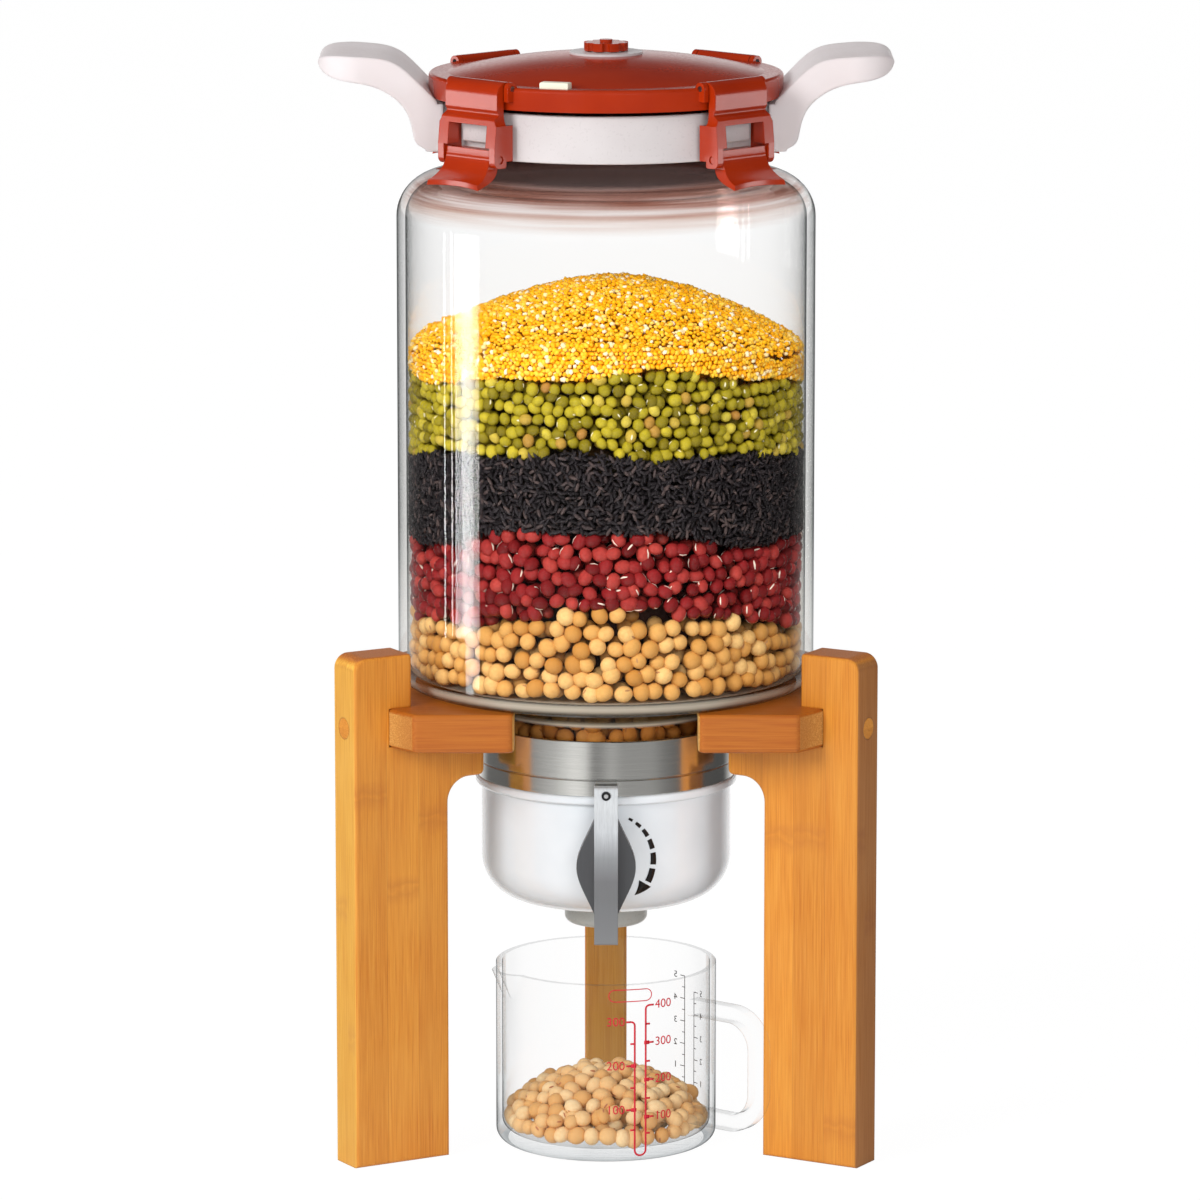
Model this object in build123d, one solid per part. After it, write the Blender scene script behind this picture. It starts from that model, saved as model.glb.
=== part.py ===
"""Grain dispenser: a glass jar on a three-leg bamboo stand, with a latched lid, a rotary outlet
under the jar and a glass measuring cup.

Lengths are in millimetres. While the pieces are made the jar axis is the Z axis, the front looks
along -Y and the feet stand at level zero. The finished pieces are moved so that the middle of the
whole footprint lies at the origin.
"""

import os
from math import cos, radians, sin, sqrt

from build123d import *

# Stand: three upright boards and a horseshoe seat
LEG_AZIMUTHS = {"leg_left": 210.0, "leg_right": 330.0, "leg_back": 90.0}
BOARD_T = 18.0
POST_RISE = 22.0
LEG_W = 44.0
LEG_TOP_R = 6.0
LEG_BACK_W = 16.0
WOOD_EDGE_R = 1.5
ARM_H = 16.0
ARM_REACH = 17.0
ARM_FILLET_R = 10.0
ARM_END_R = 2.5
SEAT_Z = 192.0
SEAT_T = 16.0
SEAT_MARGIN = 21.5
SEAT_SLOT_W = 75.0
SEAT_FRONT = 74.5
SEAT_CORNER_R = 3.0
POST_GAP = 10.5
SEAT_HOLE_GAP = 8.0

# Seat screws and the wooden plugs that cover them
SCREW_R = 2.5
SCREW_L = 36.0
SCREW_HEAD_R = 4.4
SCREW_HEAD_H = 3.0
PLUG_L = 5.0

# Glass jar
JAR_R = 86.5
JAR_WALL = 3.6
JAR_H = 247.0
JAR_BASE_R = 7.0
JAR_FLOOR_T = 4.0
JAR_FLOOR_RISE = 1.5
SHOULDER_R = 18.0
SHOULDER_ROUND_SHARE = 0.95
SHOULDER_DROP = 33.5
NECK_R = 64.0
NECK_FILLET_R = 3.0
MOUTH_R = 60.0
BEAD_W = 2.3
BEAD_H = 8.0
GLASS_EDGE_R = 1.0
FOOT_NECK_R = 51.0
FOOT_NECK_WALL = 3.5
FOOT_NECK_H = 30.0

# White neck ring with its four lugs
RING_WALL = 2.45
RING_H = 19.4
RING_DROP = 2.7
RING_FLANGE_H = 3.0
RING_EDGE_R = 0.8
LUG_W = 20.0
LUG_H = 7.3
LUG_OUT = 3.5
LUG_DROP = 5.1
LUG_EDGE_R = 0.6

# Wing handles
HANDLE_REACH = 49.0
HANDLE_ROOT_HALF = 25.0
HANDLE_TIP_HALF = 31.0
HANDLE_CORNER_R = 16.0
HANDLE_RISE = 39.0
HANDLE_TOP_SHARES = [
    (0, 0.525),
    (0.05, 0.59),
    (0.19, 0.77),
    (0.37, 0.945),
    (0.6, 1.0),
    (0.84, 1.01),
    (1.0, 0.92),
]
HANDLE_UNDER_SHARES = [
    (1.0, 0.92),
    (0.85, 0.77),
    (0.59, 0.71),
    (0.375, 0.585),
    (0.265, 0.44),
    (0.205, 0.215),
    (0.155, 0.07),
    (0.1, 0.025),
    (0, 0),
]
HANDLE_TOP_SLOPE_SHARES = [(1, 1), (0.3, -1)]
HANDLE_UNDER_SLOPE_SHARES = [(-0.3, -1), (-1, 0)]
TONGUE_W = 20.0
TONGUE_H = 6.0
TONGUE_RISE = 3.0
TONGUE_SHARE = 0.9

# Lid
LID_R = 73.0
LID_RIM_H = 9.1
LID_RIM_DROP = 0.8
LID_SKIRT_T = 2.5
LID_EDGE_R = 1.5
LID_T = 2.6
DOME_R = 65.0
DOME_H = 7.6
PLUG_RING_T = 2.5
PLUG_RING_DEPTH = 7.0
LID_GASKET_H = 2.6
TAB_W = 12.0
TAB_D = 5.0
TAB_H = 2.6
TAB_STEM_R = 1.6
TAB_AZIMUTH = 252.5

# Vent in the middle of the lid
VENT_BASE_R = 15.0
VENT_BASE_H = 1.0
VENT_CAP_R = 9.2
VENT_CAP_H = 3.4
VENT_PETALS = 8
VENT_NOTCH_R = 1.5
VENT_NUB_R = 2.6
VENT_NUB_H = 1.1
VENT_STEM_R = 3.0
VENT_SEAL_R = 7.0
VENT_SEAL_H = 0.4
VENT_CLIP_R = 5.5
VENT_CLIP_H = 1.2
VENT_TRAVEL = 3.0

# Latches on the lid and the thumb levers in them
LATCH_AZIMUTHS = {"front_left": 225.0, "front_right": 315.0, "back_left": 135.0, "back_right": 45.0}
LATCH_W = 33.0
LATCH_STRAP_W = 30.0
LATCH_PLATE_T = 2.6
LATCH_BULGE = 1.2
LATCH_FRAME_T = 6.6
LATCH_CHEEK_T = 3.3
LATCH_CHEEK_DEPTH = 3.6
LATCH_BARREL_R = 2.6
LATCH_PIN_R = 1.1
LATCH_EAR_T = 2.5
LATCH_LENGTH = 32.0
LATCH_ROUND_R = 1.0
LATCH_CROWN_R = 5.5
WINDOW_W = 22.0
WINDOW_H = 8.9
LEVER_HUB_R = 2.5
LEVER_TRUNNION_R = 1.5
LEVER_HOOK_H = 3.8
LEVER_HOOK_T = 4.2
LEVER_LIP_T = 2.0
LEVER_LIP_REACH = 11.4
LEVER_LIP_DROP = 9.6
LEVER_FLARE = 2.1
LEVER_SCALLOP_R = 60.0
LEVER_LIP_SLOPE_SHARE = 0.35
LEVER_SCALLOP_DEPTH = 2.0

# Steel sleeve and seal on the lower jar neck
SLEEVE_T = 1.2
SLEEVE_H = 23.1
SLEEVE_DROP = 15.3
SLEEVE_EDGE_R = 0.4
SLEEVE_GROOVE_R = 0.35
SLEEVE_GROOVE_SHARE = 0.3
SEAL_T = 1.7
SEAL_H = 12.0
SEAL_FLANGE_H = 1.6

# Hopper housing
HOPPER_WALL = 2.5
HOPPER_INSET = 2.0
HOPPER_LIP_W = 0.6
HOPPER_LIP_H = 3.7
HOPPER_LIP_R = 1.2
HOPPER_SIDE_H = 49.6
HOPPER_BOWL_R = 18.0
HOPPER_BOWL_DROP = 6.5
SHAFT_DROP = 27.3
PAD_R = 9.5
PAD_H = 1.0
PAD_ROOT_SHARE = 0.8
BOSS_R = 6.5
BOSS_L = 7.0

# Funnel with its spout
SPOUT_R = 17.3
SPOUT_BORE_R = 12.5
SPOUT_H = 8.2
SPOUT_EDGE_R = 3.0
FUNNEL_FOOT_W = 3.1
FUNNEL_WALL = 2.2
FUNNEL_RISE = 12.0
SADDLE_R = 20.0
SADDLE_H = 10.0

# Rotary gate and its shaft
SHAFT_R = 3.0
GATE_R = 22.0
GATE_WALL = 2.2
GATE_HALF_ANGLE = 44.0
GATE_L = 31.0
GATE_WEB_T = 2.0
GATE_HUB_R = 6.0
CLIP_R = 5.5
CLIP_T = 1.2
BUSH_WALL = 2.35
BUSH_L = 7.0
BUSH_FLANGE_R = 8.0
BUSH_FLANGE_T = 2.2

# Knob on the front of the hopper
KNOB_L = 64.8
KNOB_W = 9.8
KNOB_D = 14.0
KNOB_TOP_D = 5.0
KNOB_FOOT_D = 11.0
KNOB_EDGE_R = 1.2
KNOB_BASE_L = 44.0
KNOB_BASE_W = 24.4
KNOB_BASE_T = 6.0
KNOB_BASE_DROP = 0.8
KNOB_BASE_END_SHARE = 0.4
KNOB_BASE_SLOPE_SHARE = 0.39
KNOB_BORE_SHARE = 0.7
POINTER_R = 1.8
POINTER_L = 4.0
POINTER_PROUD = 0.4
POINTER_RISE = 29.2

# Measuring cup
CUP_R = 46.0
CUP_H = 75.8
CUP_WALL = 2.5
CUP_FLOOR_T = 5.0
CUP_BASE_R = 5.0
CUP_INNER_BASE_R = 4.0
CUP_FORWARD = 16.0
CUP_LIP_AZIMUTH = 205.0
CUP_LIP_R = 13.0
CUP_LIP_TIP_R = 3.0
CUP_LIP_H = 24.0
CUP_LIP_OUT = 5.0
CUP_HANDLE_AZIMUTH = -38.0
CUP_HANDLE_REACH = 34.0
CUP_HANDLE_TOP_DROP = 13.0
CUP_HANDLE_L = 46.0
CUP_HANDLE_W = 10.0
CUP_HANDLE_T = 7.0
CUP_HANDLE_BEND_R = 14.0
CUP_HANDLE_ROUND_R = 2.8

# Clearances
RUN_FIT = 0.05
SET_FIT = 0.1
LOOSE_FIT = 0.25
SWING_GAP = 0.4

# Levels and radii that follow from the sizes above
seat_bottom_z = SEAT_Z - SEAT_T
leg_top_z = SEAT_Z + POST_RISE
seat_r = JAR_R + SEAT_MARGIN
leg_out_r = seat_r + LEG_BACK_W
leg_in_r = leg_out_r - LEG_W
post_in_r = JAR_R + POST_GAP
sleeve_in_r = FOOT_NECK_R + RUN_FIT + SEAL_T + RUN_FIT
sleeve_r = sleeve_in_r + SLEEVE_T
seat_hole_r = sleeve_r + SEAT_HOLE_GAP

mouth_z = SEAT_Z + JAR_H
bead_r = NECK_R + BEAD_W
bead_z = mouth_z - BEAD_H
shoulder_z = mouth_z - SHOULDER_DROP
shoulder_r = min(SHOULDER_R, (JAR_R - NECK_R - NECK_FILLET_R) * SHOULDER_ROUND_SHARE)
foot_z = SEAT_Z - FOOT_NECK_H
foot_in_r = FOOT_NECK_R - FOOT_NECK_WALL

ring_in_r = bead_r + LOOSE_FIT
ring_r = ring_in_r + RING_WALL
ring_top_z = mouth_z - RING_DROP
ring_bottom_z = ring_top_z - RING_H
lug_r = ring_r + LUG_OUT
lug_top_z = ring_top_z - LUG_DROP
lug_bottom_z = lug_top_z - LUG_H

lid_bottom_z = mouth_z - LID_RIM_DROP
lid_top_z = lid_bottom_z + LID_RIM_H
gasket_top_z = mouth_z + LID_GASKET_H
plug_ring_r = MOUTH_R - SWING_GAP
dome_top_z = lid_top_z + DOME_H
dome_arc_r = (DOME_R**2 + DOME_H**2) / (DOME_H + DOME_H)

latch_in_r = LID_R + SWING_GAP
hinge_r = latch_in_r - LATCH_BARREL_R + SWING_GAP
hinge_z = lid_top_z - SWING_GAP
lever_r = latch_in_r + LATCH_FRAME_T / 2
window_top_z = lug_top_z + (WINDOW_H - LUG_H) / 2
window_bottom_z = window_top_z - WINDOW_H
lever_z = window_bottom_z - LEVER_HOOK_H - LATCH_ROUND_R

sleeve_top_z = SEAT_Z - SLEEVE_DROP
hopper_top_z = sleeve_top_z - SLEEVE_H
hopper_r = sleeve_r - HOPPER_INSET
hopper_in_r = hopper_r - HOPPER_WALL
spigot_r = sleeve_in_r - SET_FIT
spigot_top_z = foot_z - SEAL_FLANGE_H
lip_r = sleeve_r + HOPPER_LIP_W
bowl_z = hopper_top_z - HOPPER_SIDE_H
bowl_bottom_z = bowl_z - HOPPER_BOWL_DROP
shaft_z = hopper_top_z - SHAFT_DROP
spout_bottom_z = bowl_bottom_z - SPOUT_H
pad_y = -hopper_r - PAD_H
knob_back_y = pad_y - BUSH_FLANGE_T - SWING_GAP
knob_front_y = knob_back_y - KNOB_D

row_shift_y = (JAR_R - leg_out_r) / 2
FROM_BASE = (Align.CENTER, Align.CENTER, Align.MIN)


def closed_section(corners):
    """A closed section from (across, level, rounding) corners."""
    section = make_face(Polyline(*[(across, level) for across, level, _ in corners], close=True))
    for across, level, rounding in corners:
        if rounding:
            corner = section.vertices().sort_by_distance((across, level, 0))[0]
            section = fillet(corner, rounding)
    return section


def turned(corners):
    """A solid turned about the jar axis from the corners of its half section."""
    return revolve(Plane.XZ * closed_section(corners), Axis.Z)


def across_plate(corners, width):
    """A solid of a section in the XZ plane, with its width spread evenly along Y."""
    return extrude(Plane.XZ * closed_section(corners), width / 2, both=True)


def upright_rod(radius, bottom_z, top_z):
    """A rod on the jar axis between two levels."""
    return Pos(0, 0, bottom_z) * Cylinder(radius, top_z - bottom_z, align=FROM_BASE)


def outward_rod(radius, start, end, level):
    """A rod along +X from one distance to another."""
    return Pos(start, 0, level) * Rot(0, 90, 0) * Cylinder(radius, end - start, align=FROM_BASE)


def fore_aft_rod(radius, front_y, back_y, level):
    """A rod along Y at a level over the jar axis."""
    return Pos(0, front_y, level) * Rot(-90, 0, 0) * Cylinder(radius, back_y - front_y, align=FROM_BASE)


def cross_rod(radius, length, distance, level):
    """A rod along Y, centred at a distance from the jar axis."""
    return Pos(distance, 0, level) * Rot(90, 0, 0) * Cylinder(radius, length)


def block(x_range, y_range, z_range):
    """A box between limits on the three axes."""
    low = Vector(x_range[0], y_range[0], z_range[0])
    high = Vector(x_range[1], y_range[1], z_range[1])
    size = high - low
    return Pos(low + size / 2) * Box(size.X, size.Y, size.Z)


def evenly(half):
    """Limits at an even distance on both sides of zero."""
    return (-half, half)


def dome_level(radius):
    """Level of the outer lid dome at a distance from the axis."""
    return dome_top_z - dome_arc_r + sqrt(dome_arc_r**2 - radius**2)


# Stand
seat_plan = Circle(seat_r) - Circle(seat_hole_r)
seat_plan -= Pos(0, -seat_r / 2) * Rectangle(SEAT_SLOT_W, seat_r)
seat_plan -= Pos(0, -SEAT_FRONT - seat_r / 2) * Rectangle(seat_r + seat_r, seat_r)
seat_corners = seat_plan.vertices().filter_by_position(Axis.Y, -seat_r, -SEAT_FRONT + RUN_FIT)
seat_plan = fillet(seat_corners, SEAT_CORNER_R)
seat_board = Pos(0, 0, seat_bottom_z) * extrude(seat_plan, SEAT_T)
seat_ring = fillet(seat_board.faces().filter_by(Axis.Z).edges(), WOOD_EDGE_R)

screw_z = SEAT_Z - SEAT_T / 2
plug_in_r = leg_out_r - PLUG_L
head_in_r = plug_in_r - SCREW_HEAD_H
screw_in_r = head_in_r - SCREW_L
screw = outward_rod(SCREW_R, screw_in_r, head_in_r, screw_z)
screw += outward_rod(SCREW_HEAD_R, head_in_r, plug_in_r, screw_z)
plug = outward_rod(SCREW_HEAD_R, plug_in_r, leg_out_r, screw_z)
screw_hole = outward_rod(SCREW_R + RUN_FIT, screw_in_r - SET_FIT, head_in_r, screw_z)
screw_hole += outward_rod(SCREW_HEAD_R + RUN_FIT, head_in_r, leg_out_r, screw_z)

leg_outline = [
    (leg_in_r, 0, 0),
    (leg_out_r, 0, 0),
    (leg_out_r, leg_top_z, LEG_TOP_R),
    (post_in_r, leg_top_z, WOOD_EDGE_R),
    (post_in_r, screw_z, 0),
    (leg_in_r - ARM_REACH, screw_z, 0),
    (leg_in_r - ARM_REACH, seat_bottom_z - ARM_H, ARM_END_R),
    (leg_in_r, seat_bottom_z - ARM_H, ARM_FILLET_R),
]
leg_board = across_plate(leg_outline, BOARD_T)
leg_board = fillet(leg_board.faces().filter_by(Axis.Y).edges(), WOOD_EDGE_R)
leg = leg_board - upright_rod(seat_r + SET_FIT, seat_bottom_z, SEAT_Z) - screw_hole

stand_pieces = {name: Rot(0, 0, azimuth) * leg for name, azimuth in LEG_AZIMUTHS.items()}
for azimuth in LEG_AZIMUTHS.values():
    seat_ring -= Rot(0, 0, azimuth) * screw_hole
stand_pieces["seat_ring"] = seat_ring
stand_pieces["seat_screws"] = Compound([Rot(0, 0, azimuth) * screw for azimuth in LEG_AZIMUTHS.values()])
stand_pieces["screw_plugs"] = Compound([Rot(0, 0, azimuth) * plug for azimuth in LEG_AZIMUTHS.values()])

# Jar
glass_jar = turned(
    [
        (foot_in_r, foot_z, GLASS_EDGE_R),
        (FOOT_NECK_R, foot_z, GLASS_EDGE_R),
        (FOOT_NECK_R, SEAT_Z, NECK_FILLET_R),
        (JAR_R, SEAT_Z, JAR_BASE_R),
        (JAR_R, shoulder_z, shoulder_r),
        (NECK_R, shoulder_z, NECK_FILLET_R),
        (NECK_R, bead_z, 0),
        (bead_r, bead_z, GLASS_EDGE_R),
        (bead_r, mouth_z, GLASS_EDGE_R),
        (MOUTH_R, mouth_z, GLASS_EDGE_R),
        (MOUTH_R, shoulder_z - JAR_WALL, NECK_FILLET_R + JAR_WALL),
        (JAR_R - JAR_WALL, shoulder_z - JAR_WALL, shoulder_r - JAR_WALL),
        (JAR_R - JAR_WALL, SEAT_Z + JAR_FLOOR_T + JAR_FLOOR_RISE, JAR_BASE_R - JAR_WALL),
        (foot_in_r, SEAT_Z + JAR_FLOOR_T, NECK_FILLET_R),
    ]
)

tongue_z = ring_bottom_z + TONGUE_RISE
neck_ring = turned(
    [
        (ring_in_r, ring_bottom_z, 0),
        (ring_r, ring_bottom_z, RING_EDGE_R),
        (ring_r, ring_top_z, RING_EDGE_R),
        (ring_in_r, ring_top_z, 0),
        (ring_in_r, bead_z - SET_FIT, 0),
        (NECK_R + LOOSE_FIT, bead_z - SET_FIT, 0),
        (NECK_R + LOOSE_FIT, bead_z - SET_FIT - RING_FLANGE_H, 0),
        (ring_in_r, bead_z - SET_FIT - RING_FLANGE_H, 0),
    ]
)
lug = block((ring_r - RING_WALL / 2, lug_r), evenly(LUG_W / 2), (lug_bottom_z, lug_top_z))
lug = fillet(lug.faces().sort_by(Axis.X)[-1].edges(), LUG_EDGE_R)
for azimuth in LATCH_AZIMUTHS.values():
    neck_ring += Rot(0, 0, azimuth) * lug
tongue_slot = block(
    evenly(ring_r),
    evenly(TONGUE_W / 2 + SET_FIT),
    (tongue_z - SET_FIT, tongue_z + TONGUE_H + SET_FIT),
)
neck_ring -= tongue_slot


def wing_point(shares):
    """A point of the handle section from shares of its reach and rise."""
    return (ring_r + HANDLE_REACH * shares[0], ring_bottom_z + HANDLE_RISE * shares[1])


wing_top_points = [wing_point(shares) for shares in HANDLE_TOP_SHARES]
wing_under_points = [wing_point(shares) for shares in HANDLE_UNDER_SHARES]
wing_top = Spline(*wing_top_points, tangents=HANDLE_TOP_SLOPE_SHARES)
wing_under = Spline(*wing_under_points, tangents=HANDLE_UNDER_SLOPE_SHARES)
wing_root = Polyline(
    wing_under_points[-1],
    (ring_r - RING_WALL, ring_bottom_z),
    (ring_r - RING_WALL, ring_top_z),
    (wing_top_points[0][0], ring_top_z),
    wing_top_points[0],
)
wing_section = Plane.XZ * make_face(wing_top + wing_under + wing_root)
wing_plan = make_face(
    Polyline(
        (0, -HANDLE_ROOT_HALF),
        (ring_r, -HANDLE_ROOT_HALF),
        (ring_r + HANDLE_REACH, -HANDLE_TIP_HALF),
        (ring_r + HANDLE_REACH, HANDLE_TIP_HALF),
        (ring_r, HANDLE_ROOT_HALF),
        (0, HANDLE_ROOT_HALF),
        close=True,
    )
)
wing_plan = fillet(wing_plan.vertices().sort_by(Axis.X)[-2:], HANDLE_CORNER_R)
wing = extrude(wing_section, HANDLE_TIP_HALF, both=True)
wing &= Pos(0, 0, ring_bottom_z) * extrude(wing_plan, HANDLE_RISE + HANDLE_RISE)
wing -= upright_rod(ring_r + RUN_FIT, ring_bottom_z, ring_top_z)
wing -= upright_rod(latch_in_r, ring_top_z, dome_top_z)
tongue = block(
    (ring_r - RING_WALL * TONGUE_SHARE, ring_r + RING_WALL),
    evenly(TONGUE_W / 2),
    (tongue_z, tongue_z + TONGUE_H),
)
handle_right = wing + tongue
handle_left = Rot(0, 0, 180) * handle_right

# Steel sleeve, seal and hopper under the jar
steel_sleeve = turned(
    [
        (sleeve_in_r, hopper_top_z, 0),
        (sleeve_r, hopper_top_z, SLEEVE_EDGE_R),
        (sleeve_r, sleeve_top_z, SLEEVE_EDGE_R),
        (sleeve_in_r, sleeve_top_z, 0),
    ]
)
steel_sleeve -= Pos(0, 0, hopper_top_z + SLEEVE_H * SLEEVE_GROOVE_SHARE) * Torus(sleeve_r, SLEEVE_GROOVE_R)
neck_seal = turned(
    [
        (foot_in_r, foot_z - SEAL_FLANGE_H, 0),
        (sleeve_in_r - RUN_FIT, foot_z - SEAL_FLANGE_H, 0),
        (sleeve_in_r - RUN_FIT, foot_z + SEAL_H, 0),
        (FOOT_NECK_R + RUN_FIT, foot_z + SEAL_H, 0),
        (FOOT_NECK_R + RUN_FIT, foot_z, 0),
        (foot_in_r, foot_z, 0),
    ]
)

hopper = turned(
    [
        (hopper_in_r, spigot_top_z, 0),
        (spigot_r, spigot_top_z, 0),
        (spigot_r, hopper_top_z, 0),
        (lip_r, hopper_top_z, HOPPER_LIP_R),
        (lip_r, hopper_top_z - HOPPER_LIP_H, HOPPER_LIP_R),
        (hopper_r, hopper_top_z - HOPPER_LIP_H, 0),
        (hopper_r, bowl_z, HOPPER_BOWL_R),
        (SPOUT_R + SET_FIT, bowl_bottom_z, 0),
        (SPOUT_R + SET_FIT, bowl_bottom_z + HOPPER_WALL, 0),
        (hopper_in_r, bowl_z + HOPPER_WALL, HOPPER_BOWL_R - HOPPER_WALL),
    ]
)
bush_r = SHAFT_R + RUN_FIT + BUSH_WALL
hopper += fore_aft_rod(PAD_R, pad_y, -hopper_r + HOPPER_WALL * PAD_ROOT_SHARE, shaft_z)
hopper -= fore_aft_rod(bush_r + RUN_FIT, pad_y, -hopper_in_r + BUSH_L, shaft_z)
hopper += fore_aft_rod(BOSS_R, hopper_in_r - BOSS_L, hopper_in_r + HOPPER_WALL / 2, shaft_z)
hopper -= fore_aft_rod(SHAFT_R + RUN_FIT, hopper_in_r - BOSS_L, hopper_in_r, shaft_z)

front_bush = fore_aft_rod(bush_r, pad_y, pad_y + BUSH_L, shaft_z)
front_bush += fore_aft_rod(BUSH_FLANGE_R, pad_y - BUSH_FLANGE_T, pad_y, shaft_z)
front_bush -= fore_aft_rod(SHAFT_R + RUN_FIT, knob_back_y, 0, shaft_z)

# Funnel with the saddle that the gate turns in
throat_z = shaft_z - GATE_R - SWING_GAP
funnel_zone = turned(
    [
        (0, bowl_bottom_z + HOPPER_WALL + LOOSE_FIT, 0),
        (SPOUT_R, bowl_bottom_z + HOPPER_WALL + LOOSE_FIT, 0),
        (hopper_in_r - LOOSE_FIT, bowl_z + HOPPER_WALL + LOOSE_FIT, HOPPER_BOWL_R - HOPPER_WALL),
        (hopper_in_r - LOOSE_FIT, hopper_top_z, 0),
        (0, hopper_top_z, 0),
    ]
)
funnel = turned(
    [
        (SPOUT_BORE_R, throat_z - FUNNEL_WALL, 0),
        (hopper_in_r, throat_z + FUNNEL_RISE - FUNNEL_WALL, 0),
        (hopper_in_r, throat_z + FUNNEL_RISE, 0),
        (SPOUT_BORE_R, throat_z, 0),
    ]
)
funnel += upright_rod(SADDLE_R, throat_z - FUNNEL_WALL, throat_z + SADDLE_H)
funnel += upright_rod(SPOUT_R + FUNNEL_FOOT_W, bowl_bottom_z, throat_z)
funnel &= funnel_zone
funnel += upright_rod(SPOUT_R, spout_bottom_z, throat_z)
funnel -= upright_rod(SPOUT_BORE_R, spout_bottom_z, shaft_z)
pocket_half = GATE_L / 2 + SWING_GAP
funnel -= fore_aft_rod(GATE_R + SWING_GAP, -pocket_half, pocket_half, shaft_z)
spout_rim = funnel.faces().sort_by(Axis.Z)[0].edges().sort_by(SortBy.RADIUS)[-1]
outlet_funnel = fillet(spout_rim, SPOUT_EDGE_R)

# Gate, shaft and knob
gate_half = GATE_L / 2
sector_across = (GATE_R + GATE_R) * sin(radians(GATE_HALF_ANGLE))
sector_drop = (GATE_R + GATE_R) * cos(radians(GATE_HALF_ANGLE))
sector = across_plate(
    [
        (0, shaft_z, 0),
        (sector_across, shaft_z - sector_drop, 0),
        (-sector_across, shaft_z - sector_drop, 0),
    ],
    GATE_L,
)
web_half = gate_half - GATE_WEB_T
rotary_gate = fore_aft_rod(GATE_R, -gate_half, gate_half, shaft_z) & sector
rotary_gate -= fore_aft_rod(GATE_R - GATE_WALL, -web_half, web_half, shaft_z)
rotary_gate += fore_aft_rod(GATE_HUB_R, -gate_half, gate_half, shaft_z)
rotary_gate -= fore_aft_rod(SHAFT_R + RUN_FIT, -gate_half, gate_half, shaft_z)

shaft_front_y = knob_back_y - KNOB_D * KNOB_BORE_SHARE
gate_shaft = fore_aft_rod(SHAFT_R, shaft_front_y, hopper_in_r - SWING_GAP, shaft_z)
clip_y = pad_y + BUSH_L + SET_FIT
shaft_clip = fore_aft_rod(CLIP_R, clip_y, clip_y + CLIP_T, shaft_z)
shaft_clip -= fore_aft_rod(SHAFT_R + RUN_FIT, clip_y, clip_y + CLIP_T, shaft_z)

leaf_half = KNOB_BASE_L / 2
leaf_end = KNOB_W * KNOB_BASE_END_SHARE
leaf_side = Spline(
    (leaf_end, leaf_half),
    (KNOB_BASE_W / 2, 0),
    (leaf_end, -leaf_half),
    tangents=[(KNOB_BASE_SLOPE_SHARE, -1), (-KNOB_BASE_SLOPE_SHARE, -1)],
)
leaf_middle = Polyline((leaf_end, -leaf_half), (0, -leaf_half), (0, leaf_half), (leaf_end, leaf_half))
half_leaf = make_face(leaf_side + leaf_middle)
leaf = half_leaf + mirror(half_leaf, about=Plane.YZ)
leaf_plate = extrude(Plane.XZ * leaf, KNOB_BASE_T)
knob_plate = Pos(0, knob_back_y, shaft_z - KNOB_BASE_DROP) * leaf_plate
knob_top_z = shaft_z + KNOB_L / 2
knob_foot_z = shaft_z - KNOB_L / 2
lever_side = closed_section(
    [
        (knob_back_y, knob_foot_z, 0),
        (knob_back_y - KNOB_FOOT_D, knob_foot_z, KNOB_EDGE_R),
        (knob_front_y, shaft_z, KNOB_L),
        (knob_back_y - KNOB_TOP_D, knob_top_z, KNOB_EDGE_R),
        (knob_back_y, knob_top_z, 0),
    ]
)
knob_lever = extrude(Plane.YZ * lever_side, KNOB_W / 2, both=True)
pointer_z = shaft_z + POINTER_RISE
pointer_share = POINTER_RISE / (knob_top_z - shaft_z)
pointer_face_y = knob_front_y + (KNOB_D - KNOB_TOP_D) * pointer_share
knob_lever -= knob_plate
shaft_hole = fore_aft_rod(SHAFT_R + RUN_FIT, shaft_front_y, knob_back_y, shaft_z)
knob_lever -= shaft_hole
knob_plate -= shaft_hole
pin_back_y = pointer_face_y + POINTER_L
knob_lever -= fore_aft_rod(POINTER_R + RUN_FIT, knob_front_y, pin_back_y, pointer_z)
pointer_pin = fore_aft_rod(POINTER_R, pointer_face_y - POINTER_PROUD, pin_back_y, pointer_z)

# Lid
plug_in_r = plug_ring_r - PLUG_RING_T
dome_outer = ThreePointArc(
    (0, dome_top_z), (DOME_R / 2, dome_level(DOME_R / 2)), (DOME_R, lid_top_z)
)
dome_inner = ThreePointArc(
    (plug_in_r, dome_level(plug_in_r) - LID_T),
    (plug_in_r / 2, dome_level(plug_in_r / 2) - LID_T),
    (0, dome_top_z - LID_T),
)
lid_rim = Polyline(
    (DOME_R, lid_top_z),
    (LID_R, lid_top_z),
    (LID_R, lid_bottom_z),
    (LID_R - LID_SKIRT_T, lid_bottom_z),
    (LID_R - LID_SKIRT_T, gasket_top_z),
    (plug_ring_r, gasket_top_z),
    (plug_ring_r, mouth_z - PLUG_RING_DEPTH),
    (plug_in_r, mouth_z - PLUG_RING_DEPTH),
    (plug_in_r, dome_level(plug_in_r) - LID_T),
)
lid_axis = Line((0, dome_top_z - LID_T), (0, dome_top_z))
lid_section = make_face(dome_outer + lid_rim + dome_inner + lid_axis)
lid_corner = lid_section.vertices().sort_by_distance((LID_R, lid_top_z, 0))[0]
lid_shell = revolve(Plane.XZ * fillet(lid_corner, LID_EDGE_R), Axis.Z)

lid_gasket = turned(
    [
        (plug_ring_r + RUN_FIT, mouth_z, 0),
        (ring_in_r, mouth_z, 0),
        (ring_in_r, gasket_top_z, 0),
        (plug_ring_r + RUN_FIT, gasket_top_z, 0),
    ]
)

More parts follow.
